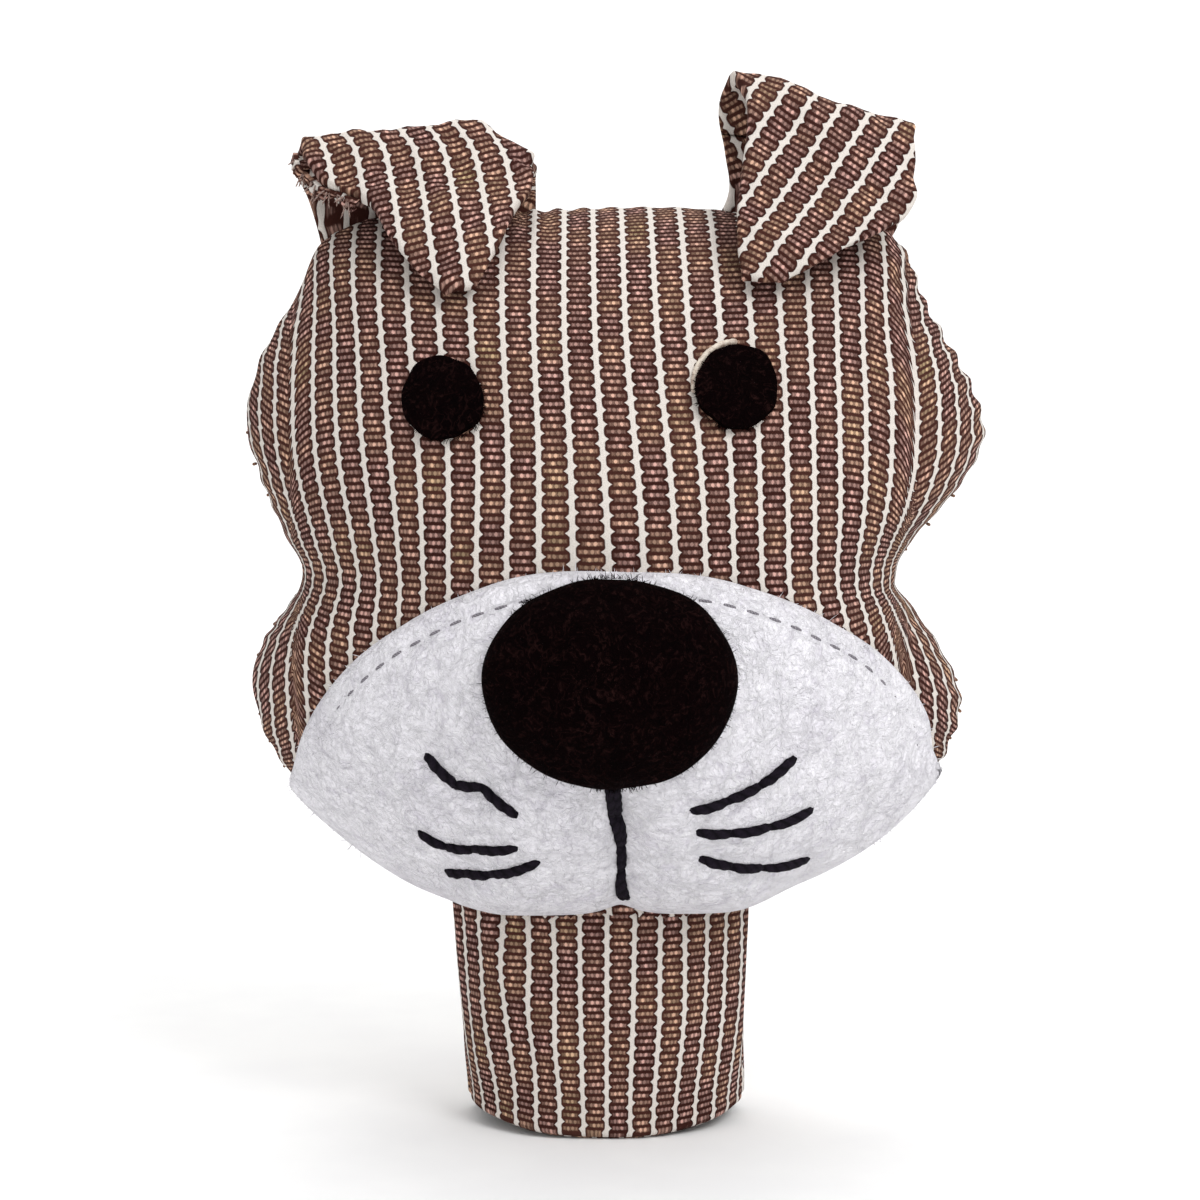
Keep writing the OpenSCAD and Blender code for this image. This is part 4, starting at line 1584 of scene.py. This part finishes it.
@dataclass
class Ear:
    """One ear of doubled cloth: a base sewn into the head's seam and a flap folded over in front."""

    side: str
    finishes: Finishes
    form: HeadForm
    rows: Sequence[tuple[Place, Place]]
    fold_row: int
    seam_angles: tuple[float, float]
    stripe: Callable[[Points, Points], tuple[Points, Points]]
    fall: float = 0.86
    rises: tuple[float, ...] = (0.0, 0.0, 0.0, 0.0, 0.0)
    crown: float = 0.9
    cloth: float = 1.7
    crease: float = 0.3
    across: int = 44
    up: int = 84
    seed: int = 3

    def lattice(self) -> Points:
        """Rows of places from the seam up over the fold and down to the tip.

        Returns:
            An array of rows, each with five places across.
        """
        turns = np.radians(np.linspace(*self.seam_angles, 5))
        radius = self.form.outline.radius(np.degrees(turns)) - 1.3
        seam = np.column_stack([radius * np.cos(turns), np.zeros(5), radius * np.sin(turns)])
        seam += (self.form.centre_x, 0, self.form.centre_z)
        share = np.linspace(0, 1, 5)[:, None]
        made = [seam]
        for i, (left, right) in enumerate(self.rows):
            row = np.array(left) * (1 - share) + np.array(right) * share
            belly = self.crown * np.sin(math.pi * share[:, 0]) * (1 if i >= self.fold_row else 0.3)
            row[:, 1] -= belly
            row[:, 2] += np.array(self.rises) * float(bump(i - self.fold_row, 1.7))
            made.append(row)
        return np.array(made)

    def sweep(self, u: Points, v: Points) -> Points:
        """A smooth surface through the lattice.

        Args:
            u: Shares across, 0 at the left.
            v: Row numbers, 0 at the seam.

        Returns:
            The places in millimetres.
        """
        net = self.lattice()

        def weave(net_: Points, t: Points) -> tuple[Points, Points]:
            """Row indices and weights of a Catmull-Rom curve."""
            i = np.clip(t.astype(int), 0, len(net_) - 2)
            f = t - i
            index = np.clip(np.stack([i - 1, i, i + 1, i + 2]), 0, len(net_) - 1)
            weight = np.stack([
                -0.5 * f + f**2 - 0.5 * f**3, 1 - 2.5 * f**2 + 1.5 * f**3,
                0.5 * f + 2 * f**2 - 1.5 * f**3, -0.5 * f**2 + 0.5 * f**3,
            ])
            return index, weight

        rows, row_weight = weave(net, v)
        columns, column_weight = weave(net[0], u * (net.shape[1] - 1))
        total = np.zeros((len(u), 3))
        for a in range(4):
            for b in range(4):
                total += (row_weight[a] * column_weight[b])[:, None] * net[rows[a], columns[b]]
        return total

    def sheet(self, name: str, start: float, end: float, cells: int) -> bpy.types.Object:
        """Makes part of the ear's cloth between two row numbers.

        Args:
            name: The piece's name.
            start: First row number.
            end: Last row number.
            cells: Cells along the way.

        Returns:
            The sheet with its cloth laid, both of its faces joined into one piece.
        """
        layers = []
        for face in (1, -1):
            piece, a, b = Bench.strip(f"{name}_{face}", self.across, cells)
            u = 0.5 - 0.5 * np.cos(math.pi * (a + 1) / 2)
            v = start + (end - start) * (0.5 - 0.5 * np.cos(math.pi * (b + 1) / 2))
            spots, run = self.formed(u, v, start, end, face)
            Bench.place(piece, spots)
            down = run - float(self.run_to(np.array([self.fold_row + 1.0]))[0])
            crest_z = np.mean([place[2] for place in self.rows[self.fold_row]])
            middle_z = self.sweep(np.full_like(v, 0.5), v)[:, 2]
            slant = self.sweep(u, v)[:, 2] - middle_z
            Bench.lay_cloth(piece, *self.stripe(spots[:, 0], crest_z - down * self.fall + slant))
            layers.append(piece)
        piece = Bench.join(name, layers)
        Bench.weld(piece, 0.004)
        return piece

    def run_to(self, v: Points) -> Points:
        """Distance along the cloth's middle from the seam to a row number."""
        line = np.linspace(0, len(self.rows), 400)
        middle = self.sweep(np.full(400, 0.5), line)
        return np.interp(v, line, path_length(middle))

    def formed(self, u: Points, v: Points, start: float, end: float, face: int) -> tuple[Points, Points]:
        """One face of the doubled cloth, rounded where it is turned at its edges.

        Args:
            u: Shares across.
            v: Row numbers.
            start: The sheet's first row number.
            end: Its last row number.
            face: 1 for the outer face and -1 for the inner one.

        Returns:
            Places, and distances along the cloth.
        """
        spots = self.sweep(u, v)
        step = 0.02
        du = self.sweep(np.clip(u + step, 0, 1), v) - self.sweep(np.clip(u - step, 0, 1), v)
        dv = self.sweep(u, v + step) - self.sweep(u, v - step)
        normal = np.cross(du, dv)
        normal /= np.maximum(np.linalg.norm(normal, axis=1), 1e-6)[:, None]
        width = np.linalg.norm(self.sweep(np.ones_like(v), v) - self.sweep(np.zeros_like(v), v), axis=1)
        run = self.run_to(v)
        radius = self.cloth / 2
        ends = self.run_to(np.array([start, end]))
        tip = radius if end >= len(self.rows) else self.crease
        near = np.minimum(np.minimum(u, 1 - u) * width / radius, 1)
        near = np.minimum(near, np.minimum((run - ends[0]) / self.crease, (ends[1] - run) / tip))
        half = radius * np.sqrt(np.maximum(0, 1 - (1 - np.clip(near, 0, 1)) ** 2))
        soft = 0.20 * ripple(spots[:, 0], run, 7.5, self.seed)
        soft += 0.12 * ripple(spots[:, 0], run, 3.6, self.seed + 1)
        pinch = 0.40 * np.exp(-np.minimum(u, 1 - u) / 0.05) * np.sin(v * 5.1 + self.seed)
        return spots + normal * (soft + pinch + face * half)[:, None], run

    def finish(self, piece: bpy.types.Object, node: str) -> None:
        """Shades a sheet smooth and gives it its finish.

        Args:
            piece: The sheet.
            node: The CAD node it stands for.
        """
        wide = self.span() * MM
        Bench.smooth(piece, 80)
        dress(piece, self.finishes.cloth, "striped_cloth", None)
        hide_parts(node)

    def span(self) -> float:
        """The ear's width along its fold, in millimetres."""
        left, right = self.rows[self.fold_row]
        return float(np.linalg.norm(np.array(right) - np.array(left)))

    def build(self) -> None:
        """Makes the base and the flap."""
        split = self.fold_row - 0.6
        base = self.sheet(f"ear_{self.side}_base_cloth", 0, split, int(self.up * 0.3))
        self.finish(base, f"ear_{self.side}_base")
        flap = self.sheet(f"ear_{self.side}_flap_cloth", split, len(self.rows), int(self.up * 0.7))
        self.finish(flap, f"ear_{self.side}_flap")
        seam = self.lattice()[0].mean(0)
        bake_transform(base)
        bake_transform(flap)


@dataclass
class RawEdge:
    """The frayed cut edge at the bunched outer end of the left ear."""

    finishes: Finishes
    knots: Sequence[Place] = (
        (-33.3, -2.6, 106.0), (-32.9, -4.0, 104.8), (-31.6, -5.6, 103.3), (-30.2, -6.6, 102.2),
        (-28.6, -7.6, 101.5), (-27.2, -8.2, 101.1), (-26.0, -8.8, 100.6),
    )
    width: float = 1.9
    threads: int = 26

    def ribbon(self) -> bpy.types.Object:
        """Makes the crumpled strip of cloth."""
        piece, a, b = Bench.strip("ear_left_raw_edge", 64, 12)
        t = (a + 1) / 2 * (len(self.knots) - 1)
        middle = follow(self.knots, range(len(self.knots)), t)
        turn = (b + 1) / 2
        crumple = 0.48 * np.sin(t * 3.3) + 0.26 * np.sin(t * 6.9 + 1.3)
        crumple += 0.10 * np.sin(t * 15 + turn * 4)
        fray = 0.20 * np.sin(t * 31) * turn**3
        spots = middle + np.column_stack([
            -0.5 * turn + 0.3 * crumple * turn,
            0.9 * turn + crumple * turn,
            -self.width * 0.62 * turn * (0.75 + 0.25 * np.sin(t * 2.6)) - fray,
        ])
        Bench.place(piece, spots)
        Bench.lay_cloth(piece, 1.7 * t + 0.6 * turn + 0.4, 1.9 * turn + 0.5 * crumple)
        Bench.face_away(piece, (-28, 6, 104))
        Bench.thicken(piece, 0.45, 0)
        Bench.smooth(piece, 80)
        return piece

    def build(self) -> None:
        """Makes the strip and the loose thread ends along it."""
        piece = self.ribbon()
        dress(piece, self.finishes.cloth, "striped_cloth", "left_flap")
        draw = np.random.default_rng(17)
        lines = []
        for _ in range(self.threads):
            t = draw.uniform(0.3, len(self.knots) - 1.2)
            root = follow(self.knots, range(len(self.knots)), np.array([t]))[0]
            way = draw.normal(0, 0.35, 3) + (-0.25, -0.1, -1.0)
            bend = draw.normal(0, 0.25, 3)
            s = np.linspace(0, 1, 6)[:, None]
            path = root + way * s * draw.uniform(0.9, 1.7) + bend * s**2 + (0, -0.1, -0.2)
            lines.append((path, np.tile((0.0, -1.0, 0.1), (6, 1))))
        ends = Strand(0.09, sides=5, rings=6).sew("ear_left_loose_threads", lines)
        dress(ends, self.finishes.bare_thread, "seam_thread", "left_flap")


def left_stripe(x: Points, z: Points) -> tuple[Points, Points]:
    """Cloth of the left ear: its stripes lean over the fold and then hang down."""
    bend = 103.2
    over = np.log1p(np.exp((z - bend) / 0.8)) * 0.8
    return (x + 0.62 * over + 0.17 * (z - bend)) * 1.03, z * 1.1 - 0.3 * x


def right_stripe(x: Points, z: Points) -> tuple[Points, Points]:
    """Cloth of the right ear, cut on the bias."""
    return (x * 0.838 - z * 0.545) * 1.09 + 1.2, (x * 0.545 + z * 0.838) * 1.08


def make_ears(form: HeadForm, finishes: Finishes) -> list[Ear]:
    """Sets out both ears, each by its rows from the seam over the fold to the tip.

    Args:
        form: The head.
        finishes: The materials.

    Returns:
        The left and the right ear.
    """
    left_rows = (
        ((-31.9, 0.8, 100.2), (-7.5, 0.6, 101.1)),
        ((-33.3, 0.6, 103.3), (-7.5, 0.6, 103.0)),
        ((-33.4, -0.4, 105.4), (-7.6, 0.0, 104.3)),
        ((-32.6, -2.2, 106.6), (-8.0, -2.2, 105.2)),
        ((-32.2, -4.6, 105.1), (-7.8, -4.4, 103.8)),
        ((-29.7, -7.0, 102.3), (-7.9, -6.6, 101.6)),
        ((-25.0, -9.2, 100.3), (-9.5, -9.0, 99.2)),
        ((-22.4, -12.0, 96.3), (-10.8, -12.0, 96.1)),
        ((-19.0, -14.2, 92.5), (-12.3, -14.0, 93.3)),
        ((-16.0, -15.2, 90.8), (-13.6, -15.2, 91.0)),
    )
    right_rows = (
        ((13.5, 0.6, 102.2), (31.8, 0.6, 98.1)),
        ((13.0, 1.0, 106.6), (32.7, 0.8, 101.7)),
        ((12.3, 0.4, 110.6), (33.2, 0.2, 105.4)),
        ((13.1, -1.8, 113.4), (33.0, -1.8, 107.6)),
        ((14.8, -4.8, 112.2), (32.9, -4.6, 106.5)),
        ((15.0, -7.4, 108.2), (32.7, -7.2, 102.8)),
        ((14.4, -9.8, 104.2), (32.4, -9.4, 99.9)),
        ((13.8, -12.2, 99.9), (29.8, -11.6, 97.6)),
        ((13.7, -14.4, 95.7), (23.9, -14.0, 94.9)),
        ((14.2, -15.6, 91.9), (18.3, -15.6, 91.7)),
    )
    return [
        Ear("left", finishes, form, left_rows, 3, (134.0, 103.0), left_stripe,
            rises=(0.2, 1.3, 1.9, 2.9, -0.4), seed=3),
        Ear("right", finishes, form, right_rows, 3, (73.0, 49.0), right_stripe,
            rises=(0.0, 1.2, 0.4, 0.5, 0.2), seed=8),
    ]


# ---- sleeve ------------------------------------------------------------------


@dataclass
class Sleeve:
    """The open cloth sleeve that the finger goes into, with its hem, lining and pocket."""

    form: HeadForm
    finishes: Finishes
    cloth: float = 0.6
    top_w: float = 16.35
    top_x: float = -0.6
    corner: float = 2.1
    neck_z: float = 24.0
    mouth_fold: float = 0.55
    hem_w: float = 6.0
    blend_from: float = 9.0
    blend_to: float = 24.0
    half_w: float = field(init=False)
    half_d: float = field(init=False)
    pocket_r: float = field(init=False)
    lining_top: float = field(init=False)
    tip_low: float = field(init=False)
    tip_high: float = field(init=False)

    def __post_init__(self) -> None:
        """Takes the sleeve's sizes from the frame."""
        low, high = node_box("sleeve_front_panel")
        self.half_w = (high[0] - low[0]) / 2 - 0.4
        self.half_d = -low[1]
        low, high = node_box("sleeve_lining")
        self.pocket_r = (high[0] - low[0]) / 2 - 0.6
        self.lining_top = high[2]
        low, high = node_box("fingertip_pocket")
        self.tip_low, self.tip_high = low[2], high[2]

    def ring(self, theta: Points, z: Points, inset: Points | float = 0.0) -> tuple[Points, Points]:
        """Places round the sleeve.

        Args:
            theta: Angles in degrees, 270 at the front.
            z: Heights.
            inset: Distance inside the outer face.

        Returns:
            The x and y there.
        """
        turn = np.radians(theta)
        climb = np.clip(z / self.neck_z, 0, 1)
        w = self.half_w + (self.top_w - self.half_w) * climb - inset
        d = self.half_d - inset
        x = w * np.sign(np.cos(turn)) * np.abs(np.cos(turn)) ** (2 / self.corner)
        y = d * np.sign(np.sin(turn)) * np.abs(np.sin(turn)) ** (2 / self.corner)
        return x + self.top_x * climb, y

    def drape(self, theta: Points, z: Points) -> Points:
        """How far the cloth stands out of its plain form: a slanting drag fold and soft waves."""
        turn = np.radians(theta)
        fold = 0.42 * bump(theta - 224 - 2.5 * (21 - z), 9) * ease(z, 0, 6)
        waves = 0.16 * np.sin(turn * 5 + z * 0.11) + 0.10 * np.sin(turn * 9 - z * 0.2 + 1)
        mouth = 0.25 * np.sin(turn * 3 + 0.7) * ease(z, 8, 0)
        seam = -0.55 * bump(np.sin(turn) * self.half_d, 0.9)
        gather = 0.14 * np.sin(turn * 26) * ease(z, 18, 24)
        return fold + waves + mouth + seam + gather

    def arc(self, theta: Points) -> Points:
        """Distance along the cloth from the middle of the front or back, at a mean height."""
        fine = np.linspace(0, 360, 1441)
        x, y = self.ring(fine, np.full_like(fine, 12.0))
        run = np.insert(np.cumsum(np.hypot(np.diff(x), np.diff(y))), 0, 0)
        front = np.interp(270, fine, run)
        return np.interp(theta, fine, run) - front

    def outer(self, theta: Points, z: Points) -> Points:
        """Places on the sleeve's outer face, drape and all."""
        x, y = self.ring(theta, z)
        out = self.drape(theta, z)
        length = np.maximum(np.hypot(x, y), 1e-6)
        turn = np.radians(theta)
        low = (1.6 * np.cos(turn) ** 2 + 0.12 * np.sin(turn * 2 + 0.4)) * ease(z, 9, 0)
        return np.column_stack([x * (1 + out / length), y * (1 + out / length), z + low + 0.12])

    def panel(self, side: Side) -> None:
        """Makes the front or back cloth, with its folded edge at the mouth.

        Args:
            side: Face for the front, nape for the back.
        """
        front = side is Side.FACE
        name = "sleeve_front_cloth" if front else "sleeve_back_cloth"
        start = 180.0 if front else 0.0
        piece, a, b = Bench.strip(name, 120, 74)
        theta = start + 0.25 + 179.5 * (a + 1) / 2
        turned = 0.075
        t = (b + 1) / 2
        climb = np.clip((t - turned) / (1 - turned), 0, 1)
        x, y = self.ring(theta, np.full_like(theta, self.neck_z))
        top = self.form.bottom(x, y) + 0.9
        curl = np.clip(1 - t / turned, 0, 1) * math.pi / 2
        low = self.mouth_fold
        z = low + climb * (top - low)
        spots = self.outer(theta, z)
        shrink = low * (1 - np.cos(curl))
        length = np.hypot(spots[:, 0], spots[:, 1])
        spots[:, :2] *= (1 - shrink / length)[:, None]
        spots[:, 2] -= low * np.sin(curl)
        along = self.arc(theta)
        middle = 0.2 - self.top_x * np.clip(z / self.neck_z, 0, 1)
        pull = 1.145 + 0.11 * ease(z, 15, 2)
        Bench.place(piece, spots)
        Bench.lay_cloth(piece, (along - middle) * pull - 1.25 + (0 if front else 1.1), z * 1.05)
        Bench.face_away(piece, (0, 0, 12))
        flat, area = cloth_size(piece)
        Bench.thicken(piece, self.cloth, -1)
        Bench.smooth(piece)
        dress(piece, self.finishes.cloth, "striped_cloth", None)
        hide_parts("sleeve_front_panel" if front else "sleeve_back_panel")
        self.bend(piece)

    def bend(self, piece: bpy.types.Object) -> None:
        """Bakes a piece's place into its mesh."""
        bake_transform(piece)

    def hem(self) -> None:
        """Makes the cloth that is turned up inside the mouth."""
        piece, a, b = Bench.strip("sleeve_hem_cloth", 200, 22)
        theta = (180 * (a + 1)) % 360
        t = (b + 1) / 2
        curl = np.clip(t / 0.15, 0, 1) * math.pi / 2
        low = self.mouth_fold
        climb = np.clip((t - 0.15) / 0.85, 0, 1) * (self.hem_w - low)
        spots = self.outer(theta, np.full_like(theta, low))
        inset = low + 0.35 * np.sin(curl) + 0.12
        length = np.hypot(spots[:, 0], spots[:, 1])
        spots[:, :2] *= (1 - inset / length)[:, None]
        spots[:, 2] += climb - low * np.cos(curl)
        Bench.place(piece, spots)
        Bench.lay_cloth(piece, self.arc(theta), -climb)
        Bench.weld(piece, 0.01)
        flat, area = cloth_size(piece)
        Bench.thicken(piece, 0.4, 0)
        Bench.smooth(piece)
        dress(piece, self.finishes.cloth, "striped_cloth", "sleeve")
        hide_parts("sleeve_hem")

    def tube(self, name: str, low: float, high: float, dome: bool) -> bpy.types.Object:
        """Makes a lining tube.

        Args:
            name: The piece's name.
            low: Its lower end.
            high: Its upper end, the dome's top where it has one.
            dome: Whether it closes over the fingertip.

        Returns:
            The tube with its thickness.
        """
        piece, a, b = Bench.strip(name, 72, 44)
        turn = math.pi * a
        t = (b + 1) / 2
        r = self.pocket_r + 0.12
        if dome:
            straight = high - low - self.pocket_r
            run = t * (straight + r * math.pi / 2)
            lift = np.clip((run - straight) / r, 0, math.pi / 2)
            z = low + np.minimum(run, straight) + r * np.sin(lift)
            radius = r * np.cos(lift)
        else:
            run = t * (high - low)
            z = low + run
            radius = r + 0.55 * ease(z, 1.6, 0.7)
        radius = radius * (1 + 0.006 * np.sin(5 * turn + z * 0.3))
        Bench.place(piece, np.column_stack([radius * np.cos(turn), radius * np.sin(turn), z]))
        Bench.lay_cloth(piece, turn * r, run)
        Bench.weld(piece, 0.01)
        return piece

    def lining(self) -> None:
        """Makes the lining of the sleeve and of the pocket in the head."""
        tube = self.tube("sleeve_lining_cloth", 0.7, self.tip_low + 0.1, False)
        pocket = self.tube("fingertip_pocket_cloth", self.tip_low + 0.1, self.tip_high - 0.3, True)
        for piece, node in ((tube, "sleeve_lining"), (pocket, "fingertip_pocket")):
            Bench.thicken(piece, 0.38, 1)
            Bench.smooth(piece)
            dress(piece, self.finishes.lining, "lining_cloth", None)
            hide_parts(node)
        self.bend(tube)
        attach(pocket, "head")

    def seam_allowances(self) -> None:
        """Makes the two cut edges that each side seam leaves inside the sleeve."""
        strips = []
        for side in (-1, 1):
            for layer in (-1, 1):
                piece, a, b = Bench.strip(f"allowance_{side}_{layer}", 10, 20)
                inner, outer_x = self.pocket_r + 1.2, self.half_w - 1.4
                x = side * (inner + (outer_x - inner) * (a + 1) / 2)
                z = 6.6 + 14.2 * (b + 1) / 2
                fray = 0.12 * np.sin(z * 5.3 + layer) * ease(a, 0.2, -1.0)
                y = layer * (0.4 + 0.25 * ease(a, 0.3, -1.0)) + 0.08 * np.sin(z * 0.9)
                Bench.place(piece, np.column_stack([x + fray, y, z]))
                Bench.lay_cloth(piece, x, z)
                Bench.thicken(piece, 0.45, 0)
                strips.append(piece)
        piece = Bench.join("sleeve_side_allowances", strips)
        Bench.smooth(piece)
        dress(piece, self.finishes.cloth, "striped_cloth", None)
        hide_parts("sleeve_seam_allowances")
        self.bend(piece)

    def neck_thread(self) -> None:
        """Sews the sleeve to the head with slanting stitches round the neck."""
        count = 46
        lines = []
        for i in range(count):
            theta = 360 * (i + np.array([0.1, 0.35, 0.6])) / count
            x, y = self.ring(theta, np.full(3, self.neck_z))
            top = self.form.bottom(x, y)
            z = top + np.array([-0.75, 0.0, 0.45])
            out = 1 + np.array([0.02, 0.30, 0.25]) / np.hypot(x, y)
            fine = np.linspace(0, 2, 7)
            knots = np.column_stack([x * out, y * out, z])
            line = follow(knots, range(3), fine)
            lines.append((line, unit(line * (1, 1, 0))))
        piece = Strand(0.17, sides=7, rings=8).sew("neck_seam_thread", lines)
        dress(piece, self.finishes.brown, "seam_thread", "head")
        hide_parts("neck_seam_stitches")

    def neck_edge(self) -> None:
        """Makes the short ragged cloth edge that shows under the chin."""
        piece, a, b = Bench.strip("neck_seam_edge", 90, 6)
        theta = 270 + 62 * a
        x, y = self.ring(theta, np.full_like(theta, self.neck_z), -0.45)
        t = (b + 1) / 2
        ragged = 0.28 * np.sin(theta * 1.9) + 0.18 * np.sin(theta * 4.7 + 1)
        ragged += 0.12 * np.sin(theta * 9.1)
        low = 24.55 + ragged + 1.1 * ease(np.abs(a), 0.5, 1.0)
        z = low + t * (27.0 - low)
        y = y - 0.25 * (1 - t)
        Bench.place(piece, np.column_stack([x, y, z]))
        Bench.lay_cloth(piece, self.arc(theta) + 1.0, z)
        Bench.face_away(piece, (0, 0, 25))
        Bench.thicken(piece, 0.45, -1)
        Bench.smooth(piece)
        dress(piece, self.finishes.cloth, "striped_cloth", "head")

    def build(self) -> None:
        """Makes every piece of the sleeve."""
        for side in Side:
            self.panel(side)
        self.hem()
        self.lining()
        self.seam_allowances()
        self.neck_thread()
        self.neck_edge()


# ---- studio ------------------------------------------------------------------


@dataclass
class Studio:
    """Pale floor, soft lights and the camera."""

    distance: float = 0.300
    elevation: float = 5.0
    frame_width: float = 0.132
    sensor: float = 36.0
    target: Place = (-0.00053, 0.0, 0.0575)

    def floor(self) -> None:
        """Lays the floor just under the sleeve's mouth."""
        piece, a, b = Bench.strip("floor", 24, 90)
        run = 300 + 1600 * b
        bend, radius = 620.0, 400.0
        turn = np.clip((run - bend) / radius, 0, math.pi / 2)
        rest = np.maximum(run - bend - radius * math.pi / 2, 0)
        y = np.minimum(run, bend) + radius * np.sin(turn)
        z = radius * (1 - np.cos(turn)) + rest - 0.12
        Bench.place(piece, np.column_stack([a * 1500, y, z]))
        Bench.smooth(piece)
        piece.data.materials.append(StudioPaper().material())

    def light(self, name: str, place: Place, size: float, power: float, aim: Place = (0, 0, 0.06)) -> None:
        """Adds a square lamp that looks at the puppet.

        Args:
            name: The lamp's name.
            place: Where it stands, in metres.
            size: Its side in metres.
            power: Its power in watts.
            aim: What it points at.
        """
        lamp = bpy.data.lights.new(name, "AREA")
        lamp.energy = power
        lamp.size = size
        piece = bpy.data.objects.new(name, lamp)
        bpy.context.scene.collection.objects.link(piece)
        piece.location = place
        look = np.array(aim) - np.array(place)
        piece.rotation_mode = "QUATERNION"
        piece.rotation_quaternion = Vector(look).to_track_quat("-Z", "Y")

    def camera(self) -> None:
        """Places the camera in front, a little above."""
        data = bpy.data.cameras.new("camera")
        data.sensor_width = self.sensor
        data.lens = self.sensor * self.distance / self.frame_width
        data.clip_start = 0.01
        piece = bpy.data.objects.new("camera", data)
        bpy.context.scene.collection.objects.link(piece)
        tilt = math.radians(self.elevation)
        back = np.array((0.0, -math.cos(tilt), math.sin(tilt)))
        piece.location = np.array(self.target) + back * self.distance
        piece.rotation_mode = "QUATERNION"
        piece.rotation_quaternion = Vector(-back).to_track_quat("-Z", "Y")
        bpy.context.scene.camera = piece

    def build(self) -> None:
        """Sets up the whole studio."""
        self.camera()
        self.floor()
        self.light("key", (0.26, -0.36, 0.44), 0.26, 1.70)
        self.light("fill", (-0.38, -0.36, 0.20), 0.40, 0.2)
        self.light("top", (0.0, 0.10, 0.55), 0.40, 0.5)
        self.light("wall", (0.0, 0.30, 0.75), 0.50, 4.2, (0, 1.0, 0.25))
        world = bpy.data.worlds.new("studio")
        world.use_nodes = True
        sky = world.node_tree.nodes["Background"]
        sky.inputs["Color"].default_value = (1.0, 1.0, 1.0, 1.0)
        sky.inputs["Strength"].default_value = 0.70
        bpy.context.scene.world = world
        bpy.context.scene.view_settings.view_transform = "Standard"


def main() -> None:
    """Builds the puppet piece by piece, then the studio."""
    logging.basicConfig(level=logging.INFO, format="%(name)s %(message)s")
    finishes = Finishes()
    form = HeadForm()
    log.info("head centre %.2f %.2f, depths %s", form.centre_x, form.centre_z, form.depth)
    Head(form, finishes).build()
    Muzzle(form, finishes).build()
    Eyes(form, finishes).build()
    for ear in make_ears(form, finishes):
        ear.build()
    RawEdge(finishes).build()
    Sleeve(form, finishes).build()
    Studio().build()
    bpy.context.view_layer.update()


if __name__ == "__main__":
    main()
